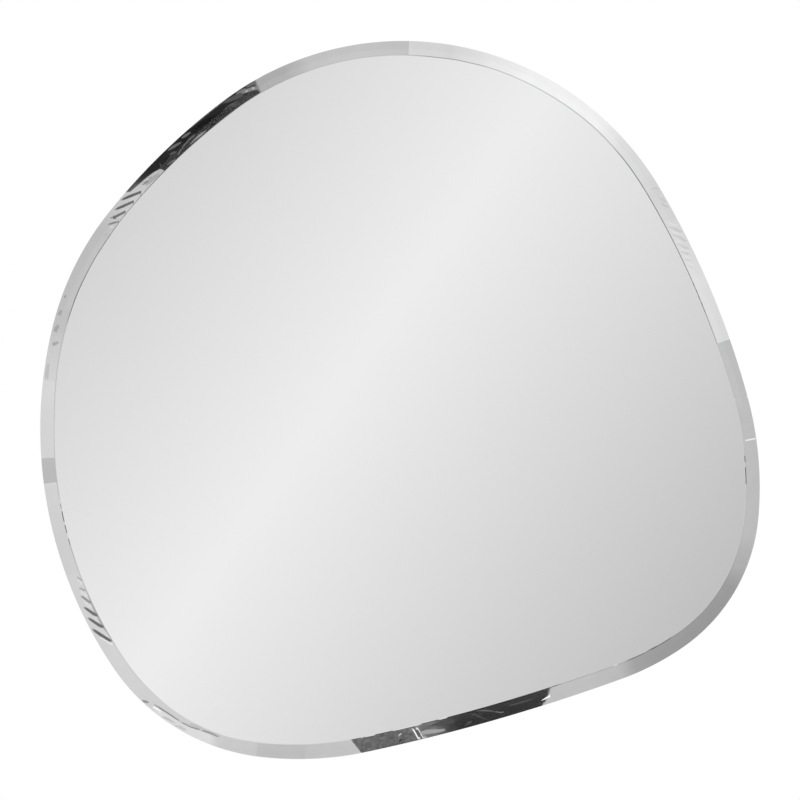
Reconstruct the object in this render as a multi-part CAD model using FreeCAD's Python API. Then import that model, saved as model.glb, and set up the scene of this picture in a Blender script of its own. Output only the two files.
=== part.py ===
# Frameless wall mirror with a bevelled edge and a pebble outline.
# The silvered pane is bonded to a smaller backing board, which hangs from two ring hangers and
# stands off the wall on four rubber bumpers.
# Frame: millimetres, +Z up, +Y into the wall, so the glass faces -Y. The origin is on the wall plane,
# behind the middle of the pane's outline. Left and right are as seen from the front.
import FreeCAD, Part
import math
import os

Vector = FreeCAD.Vector

# ---- outline of the pane -------------------------------------------------------------------------
# The edge is a chain of tangent arcs, taken anticlockwise as seen from the front. Each has a radius
# and a turn, the angle by which the edge turns along it. FIRST_FACING is the way the edge faces where
# the chain starts, with 0 to the right and 90 up. The crown and the lower right corner have no radius
# of their own: theirs are the two that close the chain, and the corner takes the turn that is left.
FIRST_FACING = -5.0
RIGHT_FLANK_RADIUS = 291.0
RIGHT_FLANK_ANGLE = 20.0
RIGHT_SIDE_RADIUS = 718.0
RIGHT_SIDE_ANGLE = 15.5
CROWN_ANGLE = 96.5
LEFT_SLOPE_RADIUS = 539.0
LEFT_SLOPE_ANGLE = 14.5
LEFT_SHOULDER_RADIUS = 250.0
LEFT_SHOULDER_ANGLE = 24.5
LEFT_SIDE_RADIUS = 362.0
LEFT_SIDE_ANGLE = 48.0
LOWER_LEFT_RADIUS = 174.0
LOWER_LEFT_ANGLE = 49.0
HEEL_RADIUS = 278.0
HEEL_ANGLE = 19.0
UNDERSIDE_RADIUS = 1615.0
UNDERSIDE_ANGLE = 8.0
CORNER_LEAD_RADIUS = 227.0
CORNER_LEAD_ANGLE = 14.5

# ---- layers, from the front back to the wall -----------------------------------------------------
GLASS_THICKNESS = 5.0
BEVEL_WIDTH = 12.0
NOSE_THICKNESS = 2.0  # of the edge that the bevel leaves
ARRIS = 0.4  # small chamfer on the pane's rear edge
COATING_THICKNESS = 0.1  # silver and its backing paint
FILM_THICKNESS = 0.2
FILM_INSET = 2.5  # from the pane's edge
BOND_THICKNESS = 1.1  # foam tape and adhesive, pressed to the same height
BOARD_THICKNESS = 9.0
BOARD_INSET = 32.0  # from the pane's edge
BOARD_EASING = 1.0  # chamfer round both faces of the board

# ---- bonding -------------------------------------------------------------------------------------
TAPE_NAMES = ("far_left", "left", "right", "far_right")
TAPE_WIDTH = 19.0
TAPE_SPACING = 112.0
TAPE_END_MARGIN = 22.0  # from the board's edge
DAB_RADIUS = 19.0
DAB_ROUNDING = 0.4
DAB_ROW_SPACING = 118.0
DAB_MARGIN = 26.0  # from the board's edge to the edge of the dab

# ---- wall bumpers --------------------------------------------------------------------------------
BUMPER_FACING = {"upper_left": 133.0, "upper_right": 47.0, "lower_left": 236.0, "lower_right": 322.0}
BUMPER_INSET = 20.0  # from the board's edge
BUMPER_HEIGHT = 6.4
BUMPER_RADIUS = 6.4
BUMPER_TIP_RADIUS = 4.8
BUMPER_ROUNDING = 0.6

# ---- hangers -------------------------------------------------------------------------------------
HANGER_SPACING = 300.0
HANGER_HEIGHT = 128.0  # of the rings' pivots over the middle of the pane
SHEET_THICKNESS = 1.2
STRAP_WIDTH = 16.0
STRAP_LENGTH = 38.0  # from the pivot to the strap's lower end
STRAP_CORNER = 5.0
LEAF_GAP = 0.1  # between the strap's two leaves
KNEE_DROP = 7.0  # from the pivot down to where the leaves close up
RING_WIRE_RADIUS = 1.5
RING_CLEARANCE = 0.08  # round the wire, inside the strap's eye
RING_INNER_WIDTH = 21.0
RING_INNER_HEIGHT = 17.0
RING_HEEL_RADIUS = 3.0  # of the wire's centre, at the two ends of the straight bar
RING_REST_GAP = 0.3  # between the leaning ring and the board

# ---- hanger screws -------------------------------------------------------------------------------
SCREW_DROPS = {"upper": 11.5, "lower": 29.5}  # below the pivot
SCREW_HEAD_RADIUS = 3.4
SCREW_HEAD_HEIGHT = 2.1
SCREW_HEAD_ROUNDING = 1.2
SCREW_CORE_RADIUS = 1.4
SCREW_CREST_RADIUS = 1.75
SCREW_PITCH = 1.2
SCREW_FLANK = 0.5  # length of each slope of the thread
SCREW_POINT_LENGTH = 1.8
SCREW_COVER = 2.0  # board left in front of the point
SCREW_HOLE_CLEARANCE = 0.25  # round the thread, in the strap
RECESS_WIDTH = 0.9
RECESS_SPAN = 3.8
RECESS_DEPTH = 1.3

# ---- places worked out from the sizes ------------------------------------------------------------
BOARD_REAR = -BUMPER_HEIGHT
BOARD_FRONT = BOARD_REAR - BOARD_THICKNESS
FILM_REAR = BOARD_FRONT - BOND_THICKNESS
COATING_REAR = FILM_REAR - FILM_THICKNESS
GLASS_REAR = COATING_REAR - COATING_THICKNESS
GLASS_FRONT = GLASS_REAR - GLASS_THICKNESS
EYE_RADIUS = RING_WIRE_RADIUS + RING_CLEARANCE
EYE_OUTER_RADIUS = EYE_RADIUS + SHEET_THICKNESS
PIVOT_Y = BOARD_REAR + EYE_OUTER_RADIUS
STRAP_HEIGHT = 2 * SHEET_THICKNESS + LEAF_GAP
HEAD_SEAT = BOARD_REAR + STRAP_HEIGHT
SCREW_LENGTH = STRAP_HEIGHT + BOARD_THICKNESS - SCREW_COVER
RING_REACH = RING_INNER_HEIGHT + 2 * RING_WIRE_RADIUS  # from the pivot to the wire of the bow

INTO_WALL = Vector(0, 1, 0)
ACROSS = Vector(1, 0, 0)
TINY = 1e-6  # how near two places count as the same


# ---- the outline ---------------------------------------------------------------------------------
def facing(angle):
    """Unit vector in the plane of the pane, at an angle in degrees with 0 to the right and 90 up."""
    return Vector(math.cos(math.radians(angle)), 0, math.sin(math.radians(angle)))


def chain_of_arcs():
    """The pane's edge as (centre, radius, start angle, end angle), with its middle at the origin."""
    stretches = [
        (RIGHT_FLANK_RADIUS, RIGHT_FLANK_ANGLE),
        (RIGHT_SIDE_RADIUS, RIGHT_SIDE_ANGLE),
        (None, CROWN_ANGLE),
        (LEFT_SLOPE_RADIUS, LEFT_SLOPE_ANGLE),
        (LEFT_SHOULDER_RADIUS, LEFT_SHOULDER_ANGLE),
        (LEFT_SIDE_RADIUS, LEFT_SIDE_ANGLE),
        (LOWER_LEFT_RADIUS, LOWER_LEFT_ANGLE),
        (HEEL_RADIUS, HEEL_ANGLE),
        (UNDERSIDE_RADIUS, UNDERSIDE_ANGLE),
        (CORNER_LEAD_RADIUS, CORNER_LEAD_ANGLE),
    ]
    stretches.append((None, 360.0 - sum(turn for _, turn in stretches)))
    starts = [FIRST_FACING]
    for _, turn in stretches:
        starts.append(starts[-1] + turn)
    # Along an arc the edge moves by its radius times the change in the facing vector, and all the
    # moves add up to nothing. That gives two equations for the two open radii.
    swings = [facing(end) - facing(start) for start, end in zip(starts, starts[1:])]
    known = Vector(0, 0, 0)
    for (radius, _), swing in zip(stretches, swings):
        if radius is not None:
            known += swing * radius
    first, second = [swing for (radius, _), swing in zip(stretches, swings) if radius is None]
    determinant = first.x * second.z - first.z * second.x
    closing = [
        (known.z * second.x - known.x * second.z) / determinant,
        (known.x * first.z - known.z * first.x) / determinant,
    ]
    arcs = []
    point = Vector(0, 0, 0)
    for (radius, _), swing, start, end in zip(stretches, swings, starts, starts[1:]):
        if radius is None:
            radius = closing.pop(0)
        arcs.append((point - facing(start) * radius, radius, start, end))
        point += swing * radius
    middle = Vector(
        (reach(arcs, 0) - reach(arcs, 180)) / 2, 0, (reach(arcs, 90) - reach(arcs, 270)) / 2
    )
    return [(centre - middle, radius, start, end) for centre, radius, start, end in arcs]


def edge_point(arcs, angle, inset=0.0):
    """The point where the edge, moved in by inset, faces the given way."""
    first = arcs[0][2]
    angle = first + (angle - first) % 360.0
    for centre, radius, start, end in arcs:
        if start <= angle <= end:
            return centre + facing(angle) * (radius - inset)


def reach(arcs, angle):
    """How far the edge reaches from the origin in a direction."""
    return edge_point(arcs, angle).dot(facing(angle))


def outline_wire(arcs, inset, y):
    """The edge moved in by inset, as a closed wire in the plane at y."""
    edges = []
    for centre, radius, start, end in arcs:
        points = [
            centre + facing(angle) * (radius - inset) + INTO_WALL * y
            for angle in (start, (start + end) / 2, end)
        ]
        edges.append(Part.Arc(*points).toShape())
    return Part.Wire(edges)


def plate(arcs, inset, rear, front):
    """A flat plate of the outline moved in by inset, between two planes."""
    return Part.Face(outline_wire(arcs, inset, rear)).extrude(INTO_WALL * (front - rear))


def span_at(arcs, x, inset):
    """Lowest and highest z of the outline, moved in by inset, on the vertical line at x."""
    crossings = []
    for centre, radius, start, end in arcs:
        aside = (x - centre.x) / (radius - inset)
        if abs(aside) > 1:
            continue
        for angle in (math.degrees(math.acos(aside)), -math.degrees(math.acos(aside))):
            if start + (angle - start) % 360.0 <= end:
                crossings.append(centre.z + (radius - inset) * math.sin(math.radians(angle)))
    return min(crossings), max(crossings)


# ---- helpers for edges and prisms ----------------------------------------------------------------
def edges_at(shape, y):
    """The edges that lie in the plane at y."""
    return [edge for edge in shape.Edges if all(abs(v.Y - y) < TINY for v in edge.Vertexes)]


def turned(points, x, z):
    """A solid of revolution about the Y line through (x, z), from (radius, y) points."""
    corners = [Vector(x + radius, y, z) for radius, y in points]
    face = Part.Face(Part.makePolygon(corners + corners[:1]))
    return face.revolve(Vector(x, 0, z), INTO_WALL, 360)


# ---- the pane and what is behind it --------------------------------------------------------------
def mirror_glass(arcs):
    """The pane: flat back, thin polished nose, and a wide bevel up to the flat front."""
    sections = [
        outline_wire(arcs, ARRIS, GLASS_REAR),
        outline_wire(arcs, 0, GLASS_REAR - ARRIS),
        outline_wire(arcs, 0, GLASS_REAR - NOSE_THICKNESS),
        outline_wire(arcs, BEVEL_WIDTH, GLASS_FRONT),
    ]
    return Part.makeLoft(sections, True, True)


def backing_board(arcs, shanks):
    """The board behind the pane, with its edges eased and threaded by the screws."""
    board = plate(arcs, BOARD_INSET, BOARD_REAR, BOARD_FRONT)
    rims = edges_at(board, BOARD_REAR) + edges_at(board, BOARD_FRONT)
    return board.makeChamfer(BOARD_EASING, rims).cut(shanks)


def tape_strip(arcs, middle):
    """A square-cut strip of foam tape, as long as the board allows."""
    sides = (middle - TAPE_WIDTH / 2, middle + TAPE_WIDTH / 2)
    spans = [span_at(arcs, side, BOARD_INSET + TAPE_END_MARGIN) for side in sides]
    low = max(span[0] for span in spans)
    high = min(span[1] for span in spans)
    return Part.makeBox(TAPE_WIDTH, BOND_THICKNESS, high - low, Vector(sides[0], FILM_REAR, low))


def adhesive_dabs(arcs):
    """Pressed discs of adhesive, in columns between the strips of tape."""
    dabs = []
    columns = len(TAPE_NAMES) - 1
    for column in range(columns):
        x = (column - (columns - 1) / 2) * TAPE_SPACING
        low, high = span_at(arcs, x, BOARD_INSET + DAB_MARGIN + DAB_RADIUS)
        rows = int((high - low) // DAB_ROW_SPACING) + 1
        for row in range(rows):
            z = (low + high) / 2 + (row - (rows - 1) / 2) * DAB_ROW_SPACING
            dab = Part.makeCylinder(DAB_RADIUS, BOND_THICKNESS, Vector(x, FILM_REAR, z), INTO_WALL)
            rims = edges_at(dab, FILM_REAR) + edges_at(dab, BOARD_FRONT)
            dabs.append(dab.makeFillet(DAB_ROUNDING, rims))
    return Part.makeCompound(dabs)


def bumper(arcs, angle):
    """A tapered rubber bumper on the board's rear face, flat where it meets the wall."""
    foot = edge_point(arcs, angle, BOARD_INSET + BUMPER_INSET) + INTO_WALL * BOARD_REAR
    cone = Part.makeCone(BUMPER_RADIUS, BUMPER_TIP_RADIUS, BUMPER_HEIGHT, foot, INTO_WALL)
    return cone.makeFillet(BUMPER_ROUNDING, edges_at(cone, 0.0))


# ---- the hangers ---------------------------------------------------------------------------------
def hanger_strap(x, pivot_z):
    """A strip of sheet folded round the ring's bar, with its two leaves one on the other."""
    left = x - STRAP_WIDTH / 2

    def at(y, z):
        return Vector(left, PIVOT_Y + y, pivot_z + z)

    def round_eye(radius, angle):
        return at(radius * math.cos(math.radians(angle)), radius * math.sin(math.radians(angle)))

    # The outer leaf leaves the eye on a tangent and meets the inner leaf, but for the gap, at the knee.
    knee_y = LEAF_GAP - EYE_RADIUS
    slope = math.degrees(
        math.atan2(-knee_y, KNEE_DROP) + math.asin(EYE_RADIUS / math.hypot(KNEE_DROP, knee_y))
    )
    outer_knee_z = -KNEE_DROP - SHEET_THICKNESS * math.tan(math.radians(slope / 2))
    crest = (180.0 - slope) / 2
    inner_low = at(-EYE_OUTER_RADIUS, -STRAP_LENGTH)
    inner_low_top = at(-EYE_RADIUS, -STRAP_LENGTH)
    outer_low = at(knee_y, -STRAP_LENGTH)
    outer_low_top = at(knee_y + SHEET_THICKNESS, -STRAP_LENGTH)
    knee = at(knee_y, -KNEE_DROP)
    knee_top = at(knee_y + SHEET_THICKNESS, outer_knee_z)
    outer_start, outer_crest, outer_end = [
        round_eye(EYE_OUTER_RADIUS, angle) for angle in (180.0, crest, -slope)
    ]
    inner_start, inner_crest, inner_end = [round_eye(EYE_RADIUS, angle) for angle in (180.0, crest, -slope)]
    profile = Part.Wire(
        [
            Part.LineSegment(inner_low, outer_start).toShape(),
            Part.Arc(outer_start, outer_crest, outer_end).toShape(),
            Part.LineSegment(outer_end, knee_top).toShape(),
            Part.LineSegment(knee_top, outer_low_top).toShape(),
            Part.LineSegment(outer_low_top, outer_low).toShape(),
            Part.LineSegment(outer_low, knee).toShape(),
            Part.LineSegment(knee, inner_end).toShape(),
            Part.Arc(inner_end, inner_crest, inner_start).toShape(),
            Part.LineSegment(inner_start, inner_low_top).toShape(),
            Part.LineSegment(inner_low_top, inner_low).toShape(),
        ]
    )
    strap = Part.Face(profile).extrude(ACROSS * STRAP_WIDTH)
    low = pivot_z - STRAP_LENGTH
    corners = [
        edge
        for edge in strap.Edges
        if all(abs(v.Z - low) < TINY for v in edge.Vertexes) and edge.BoundBox.XLength < TINY
    ]
    strap = strap.makeFillet(STRAP_CORNER, corners)
    hole_radius = SCREW_CREST_RADIUS + SCREW_HOLE_CLEARANCE
    for drop in SCREW_DROPS.values():
        foot = Vector(x, BOARD_REAR, pivot_z - drop)
        strap = strap.cut(Part.makeCylinder(hole_radius, STRAP_HEIGHT, foot, INTO_WALL))
    return strap


def ring_lean():
    """How far the resting ring leans past upright towards the board, in degrees."""
    room = EYE_OUTER_RADIUS - RING_WIRE_RADIUS - RING_REST_GAP
    return math.degrees(math.asin(room / RING_REACH))


def hanger_ring(x, pivot_z):
    """A D of round wire: a straight bar through the strap's eye, two short bends and a round bow."""
    half = RING_INNER_WIDTH / 2 + RING_WIRE_RADIUS
    heel = RING_HEEL_RADIUS
    bend_middle = heel * math.sqrt(0.5)
    spring = RING_REACH - half  # height at which the bow starts

    def at(across, up):
        return Vector(x + across, PIVOT_Y, pivot_z + up)

    path = Part.Wire(
        [
            Part.LineSegment(at(0, 0), at(half - heel, 0)).toShape(),
            Part.Arc(
                at(half - heel, 0), at(half - heel + bend_middle, heel - bend_middle), at(half, heel)
            ).toShape(),
            Part.LineSegment(at(half, heel), at(half, spring)).toShape(),
            Part.Arc(at(half, spring), at(0, RING_REACH), at(-half, spring)).toShape(),
            Part.LineSegment(at(-half, spring), at(-half, heel)).toShape(),
            Part.Arc(
                at(-half, heel), at(heel - half - bend_middle, heel - bend_middle), at(heel - half, 0)
            ).toShape(),
            Part.LineSegment(at(heel - half, 0), at(0, 0)).toShape(),
        ]
    )
    section = Part.Wire(Part.Circle(at(0, 0), ACROSS, RING_WIRE_RADIUS).toShape())
    ring = path.makePipeShell([section], True, True)
    ring.rotate(at(0, 0), ACROSS, ring_lean())
    return ring


def screw_shank(x, z):
    """The threaded part of a wood screw, from the head's seat to the point."""
    point = HEAD_SEAT - SCREW_LENGTH
    thread_start = point + SCREW_POINT_LENGTH
    profile = [(0, HEAD_SEAT), (0, point), (SCREW_CORE_RADIUS, thread_start)]
    for turn in range(int((BOARD_REAR - thread_start) // SCREW_PITCH)):
        y = thread_start + turn * SCREW_PITCH
        profile.append((SCREW_CREST_RADIUS, y + SCREW_FLANK))
        profile.append((SCREW_CORE_RADIUS, y + 2 * SCREW_FLANK))
        profile.append((SCREW_CORE_RADIUS, y + SCREW_PITCH))
    profile.append((SCREW_CORE_RADIUS, HEAD_SEAT))
    return turned(profile, x, z)


def hanger_screw(x, z):
    """A pan head wood screw with a cross recess, its head on the strap's outer leaf."""
    head = Part.makeCylinder(SCREW_HEAD_RADIUS, SCREW_HEAD_HEIGHT, Vector(x, HEAD_SEAT, z), INTO_WALL)
    head_top = HEAD_SEAT + SCREW_HEAD_HEIGHT
    head = head.makeFillet(SCREW_HEAD_ROUNDING, edges_at(head, head_top))
    corner = Vector(x - RECESS_SPAN / 2, head_top - RECESS_DEPTH, z - RECESS_WIDTH / 2)
    slot = Part.makeBox(RECESS_SPAN, RECESS_DEPTH, RECESS_WIDTH, corner)
    crossing_slot = slot.copy()
    crossing_slot.rotate(Vector(x, 0, z), INTO_WALL, 90)
    return head.cut([slot, crossing_slot]).fuse(screw_shank(x, z))


# ---- the whole mirror ----------------------------------------------------------------------------
def build():
    """Every piece of the mirror, by name."""
    arcs = chain_of_arcs()
    balance = Part.Face(outline_wire(arcs, 0, 0)).CenterOfMass.x
    hangers = {"left": balance - HANGER_SPACING / 2, "right": balance + HANGER_SPACING / 2}
    screws = {
        f"{side}_hanger_{level}_screw": (x, HANGER_HEIGHT - drop)
        for side, x in hangers.items()
        for level, drop in SCREW_DROPS.items()
    }
    pieces = {
        "mirror_glass": mirror_glass(arcs),
        "silver_coating": plate(arcs, ARRIS, COATING_REAR, GLASS_REAR),
        "safety_film": plate(arcs, FILM_INSET, FILM_REAR, COATING_REAR),
        "adhesive_dabs": adhesive_dabs(arcs),
        "backing_board": backing_board(arcs, [screw_shank(*place) for place in screws.values()]),
    }
    for number, name in enumerate(TAPE_NAMES):
        middle = (number - (len(TAPE_NAMES) - 1) / 2) * TAPE_SPACING
        pieces[f"{name}_mounting_tape"] = tape_strip(arcs, middle)
    for name, angle in BUMPER_FACING.items():
        pieces[f"{name}_bumper"] = bumper(arcs, angle)
    for side, x in hangers.items():
        pieces[f"{side}_hanger_strap"] = hanger_strap(x, HANGER_HEIGHT)
        pieces[f"{side}_hanger_ring"] = hanger_ring(x, HANGER_HEIGHT)
    for name, place in screws.items():
        pieces[name] = hanger_screw(*place)
    print(f"ring pivots: x {hangers}, y {PIVOT_Y:.4f}, z {HANGER_HEIGHT}, lean {ring_lean():.4f} degrees")
    return pieces


os.makedirs("parts", exist_ok=True)
for node, shape in build().items():
    shape.exportStep(os.path.join("parts", node + ".step"))
    box = shape.BoundBox
    print(
        f"{node}: {len(shape.Solids)} solid(s), {shape.Volume:.1f} mm3, "
        f"x {box.XMin:.2f} to {box.XMax:.2f}, y {box.YMin:.2f} to {box.YMax:.2f}, "
        f"z {box.ZMin:.2f} to {box.ZMax:.2f}"
    )
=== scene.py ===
"""Looks of a frameless wall mirror with a bevelled edge and a pebble outline.

Laid out as an add-on and run as a script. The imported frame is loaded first. Then a clear pane with
silver on its back, the paint, film, bond and board behind it, the bumpers and the hangers are made
on the frame's bodies, and a plain studio is set round them. Metres, +Z up, the glass faces -Y.
"""

import math

import bmesh
import bpy
from bpy.props import FloatProperty, FloatVectorProperty, IntProperty, PointerProperty
from mathutils import Matrix, Vector


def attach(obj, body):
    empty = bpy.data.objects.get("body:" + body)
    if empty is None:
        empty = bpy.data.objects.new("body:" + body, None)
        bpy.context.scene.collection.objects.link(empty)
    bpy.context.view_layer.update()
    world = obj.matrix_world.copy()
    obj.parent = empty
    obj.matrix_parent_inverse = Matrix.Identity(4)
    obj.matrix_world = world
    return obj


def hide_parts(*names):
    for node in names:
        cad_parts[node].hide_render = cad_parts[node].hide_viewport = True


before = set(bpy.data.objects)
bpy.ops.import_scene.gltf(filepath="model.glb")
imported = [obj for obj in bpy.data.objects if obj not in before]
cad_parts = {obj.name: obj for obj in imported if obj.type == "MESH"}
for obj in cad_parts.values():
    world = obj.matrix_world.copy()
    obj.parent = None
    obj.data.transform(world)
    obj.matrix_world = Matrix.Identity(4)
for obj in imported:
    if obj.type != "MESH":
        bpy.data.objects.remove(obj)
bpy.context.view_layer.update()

bl_info = {
    "name": "Bevelled pebble mirror",
    "version": (1, 0, 0),
    "blender": (4, 5, 0),
    "location": "View3D > Sidebar > Mirror",
    "description": "Makes a frameless bevelled wall mirror and the studio it is shown in",
    "category": "Object",
}

MM = 0.001
INTO_WALL = Vector((0, 1, 0))

# ---- the outline ---------------------------------------------------------------------------------
# The edge is a chain of tangent arcs, anticlockwise as seen from the front, each with its radius and
# the angle that it turns by. The two arcs with no radius close the chain.
FIRST_FACING = -5.0
STRETCHES = (
    (0.291, 20.0),  # right flank
    (0.718, 15.5),  # right side
    (None, 96.5),  # crown
    (0.539, 14.5),  # left slope
    (0.250, 24.5),  # left shoulder
    (0.362, 48.0),  # left side
    (0.174, 49.0),  # lower left
    (0.278, 19.0),  # heel
    (1.615, 8.0),  # underside
    (0.227, 14.5),  # lead into the lower right corner
    (None, 50.5),  # lower right corner
)

# ---- layers, from the wall forward ---------------------------------------------------------------
BOARD_REAR = -6.4 * MM
BOARD_THICKNESS = 9.0 * MM
BOARD_INSET = 32.0 * MM
BOARD_EDGE_STEP = 1.6 * MM
BOARD_FRONT = BOARD_REAR - BOARD_THICKNESS
FILM_REAR = -16.5 * MM
COATING_REAR = -16.7 * MM
GLASS_REAR = -16.8 * MM
GLASS_THICKNESS = 5.0 * MM
SILVER_GAP = 0.01 * MM  # hairline between the pane's silvered face and the coating behind it
MERGE = 1e-6  # points nearer than this are one
SHARP = 30.0  # edges that turn by more than this many degrees stay sharp
BEVEL_SHARP = 8.0

# ---- hangers -------------------------------------------------------------------------------------
BALANCE_X = -6.25256 * MM
HANGER_SPACING = 300.0 * MM
PIVOT_Y = -3.62 * MM
PIVOT_Z = 128.0 * MM
SCREW_SEAT_Y = -3.9 * MM
SCREW_DROPS = (11.5 * MM, 29.5 * MM)
RING_HALF_WIDTH = 12.0 * MM
RING_REACH = 20.0 * MM
RING_HEEL = 3.0 * MM
RING_LEAN = 2.8086  # degrees off upright as the ring leans on the board
RING_BAR_STEPS = 12
WIRE_SIDES = 28
FLAT_ANGLE = math.radians(0.5)  # a strap's faces that meet more flatly than this are one
SHEARED_ANGLE = math.radians(50)  # a strap's edges that are sharper than this are rounded
HANGER_SIDES = {
    "left": BALANCE_X - HANGER_SPACING / 2,
    "right": BALANCE_X + HANGER_SPACING / 2,
}

# ---- bumpers and adhesive ------------------------------------------------------------------------
BUMPER_FACINGS = {"upper_left": 133.0, "upper_right": 47.0, "lower_left": 236.0, "lower_right": 322.0}
BUMPER_INSET = 52.0 * MM
BUMPER_SEED = 2
DAB_COLUMNS = (-112.0 * MM, 0.0, 112.0 * MM)
DAB_ROW_SPACING = 118.0 * MM
DAB_EDGE_MARGIN = 77.0 * MM
TAPES = ("far_left", "left", "right", "far_right")


def facing(angle):
    """Unit vector in the plane of the pane, at an angle in degrees with 0 to the right and 90 up."""
    return Vector((math.cos(math.radians(angle)), 0, math.sin(math.radians(angle))))


def chain_of_arcs():
    """The pane's edge as (centre, radius, start angle, end angle), with its middle at the origin."""
    starts = [FIRST_FACING]
    for _, turn in STRETCHES:
        starts.append(starts[-1] + turn)
    swings = [facing(end) - facing(start) for start, end in zip(starts, starts[1:])]
    known = Vector((0, 0, 0))
    for (radius, _), swing in zip(STRETCHES, swings):
        if radius is not None:
            known += swing * radius
    first, second = [swing for (radius, _), swing in zip(STRETCHES, swings) if radius is None]
    determinant = first.x * second.z - first.z * second.x
    closing = [
        (known.z * second.x - known.x * second.z) / determinant,
        (known.x * first.z - known.z * first.x) / determinant,
    ]
    arcs = []
    point = Vector((0, 0, 0))
    for (radius, _), swing, start, end in zip(STRETCHES, swings, starts, starts[1:]):
        if radius is None:
            radius = closing.pop(0)
        arcs.append((point - facing(start) * radius, radius, start, end))
        point = point + swing * radius
    middle = Vector(
        (reach(arcs, 0) - reach(arcs, 180), 0, reach(arcs, 90) - reach(arcs, 270))
    ) / 2
    return [(centre - middle, radius, start, end) for centre, radius, start, end in arcs]


def arc_at(arcs, angle):
    """The arc whose edge faces the given way, and that angle brought into the chain's own turn."""
    angle = arcs[0][2] + (angle - arcs[0][2]) % 360.0
    for arc in arcs:
        if arc[2] <= angle <= arc[3]:
            return arc, angle
    return arcs[-1], angle


def edge_point(arcs, angle, inset=0.0):
    """The point where the edge, moved in by inset, faces the given way."""
    (centre, radius, _, _), angle = arc_at(arcs, angle)
    return centre + facing(angle) * (radius - inset)


def reach(arcs, angle):
    """How far the edge reaches from the origin in a direction."""
    return edge_point(arcs, angle).dot(facing(angle))


def span_at(arcs, x, inset):
    """Lowest and highest z of the outline, moved in by inset, on the vertical line at x."""
    crossings = []
    for centre, radius, start, end in arcs:
        aside = (x - centre.x) / (radius - inset)
        if abs(aside) > 1:
            continue
        for angle in (math.degrees(math.acos(aside)), -math.degrees(math.acos(aside))):
            if start + (angle - start) % 360.0 <= end:
                crossings.append(centre.z + (radius - inset) * math.sin(math.radians(angle)))
    return min(crossings), max(crossings)


ARCS = chain_of_arcs()

# The bevel is ground by hand, so its width strays a little. Facing of the edge and share of the stray.
WANDER = (
    (3, 0.0), (12, -0.65), (22, 0.0), (32, 0.15), (40, -0.3), (48, -0.7), (60, -0.35), (70, -0.4),
    (78, 0.1), (84, 0.6), (91, 0.3), (100, 0.05), (118, 0.2), (130, 0.4), (140, 0.4), (146, 0.9),
    (153, 0.4), (160, -0.15), (170, -0.8), (180, 0.15), (187, -0.3), (204, -0.35), (216, 0.1),
    (226, -0.1), (238, -0.65), (252, -0.7), (262, 0.1), (270, 0.6), (278, 1.0), (290, 1.1), (303, 0.9),
    (312, 0.5), (318, 0.05), (340, 0.0),
)


def stray(angle):
    """Share of the bevel's stray where the edge faces the given way."""
    angle = WANDER[0][0] + (angle - WANDER[0][0]) % 360.0
    stations = (*WANDER, (WANDER[0][0] + 360, WANDER[0][1]))
    for (start, first), (end, second) in zip(stations, stations[1:]):
        if angle <= end:
            share = (angle - start) / (end - start)
            return first + (second - first) * share * share * (3 - 2 * share)
    return WANDER[0][1]


def edge_length(angle):
    """Length along the edge to where it faces the given way."""
    arc, angle = arc_at(ARCS, angle)
    passed = 0.0
    for other in ARCS:
        if other is arc:
            return passed + math.radians(angle - other[2]) * other[1]
        passed += math.radians(other[3] - other[2]) * other[1]
    return passed


# ---- settings that a user would change -----------------------------------------------------------
def size_setting(label, note, default):
    """A length, shown in the scene's own unit."""
    return FloatProperty(name=label, description=note, default=default, min=0.0, unit="LENGTH", precision=5)


def colour_setting(label, note, default):
    """A colour, in linear values."""
    return FloatVectorProperty(
        name=label, description=note, default=default, min=0.0, max=1.0, size=3, subtype="COLOR"
    )


class MirrorPaneSettings(bpy.types.PropertyGroup):
    """Sizes and colours of the glass and its silvering."""

    bevel_width: size_setting("Bevel width", "Width of the sloping border on the front", 12.0 * MM)
    bevel_stray: size_setting("Bevel stray", "How far the ground bevel strays in width", 1.0 * MM)
    nose_thickness: size_setting("Nose thickness", "Thickness of the edge that the bevel leaves", 2.0 * MM)
    arris: size_setting("Arris", "Small chamfer round the pane's rear edge", 0.12 * MM)
    edge_step: size_setting("Edge step", "Spacing of the points round the outline", 1.3 * MM)
    glass_index: FloatProperty(
        name="Glass index", description="Refractive index of the glass", default=1.52, min=1.0, max=2.5
    )
    glass_tint: colour_setting("Glass tint", "Colour that a long way in glass leaves", (0.55, 0.86, 0.72))
    silver_colour: colour_setting("Silver", "Colour of the silver", (0.945, 0.95, 0.945))
    paint_colour: colour_setting("Backing paint", "Paint that protects the silver", (0.2, 0.215, 0.22))


class MirrorBackSettings(bpy.types.PropertyGroup):
    """Sizes and colours of what is bonded behind the pane."""

    board_easing: size_setting("Board easing", "Chamfer round both faces of the board", 1.0 * MM)
    dab_radius: size_setting("Dab radius", "Radius of a pressed dab of adhesive", 19.0 * MM)
    dab_seed: IntProperty(name="Dab seed", description="Changes how the dabs are turned", default=7)
    board_colour: colour_setting("Fibreboard", "Face of the fibreboard", (0.47, 0.335, 0.205))
    film_colour: colour_setting("Safety film", "Milky film over the paint", (0.6, 0.63, 0.64))
    tape_colour: colour_setting("Foam tape", "White closed-cell foam", (0.72, 0.72, 0.69))
    adhesive_colour: colour_setting("Adhesive", "Cured mirror adhesive", (0.04, 0.04, 0.042))


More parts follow.
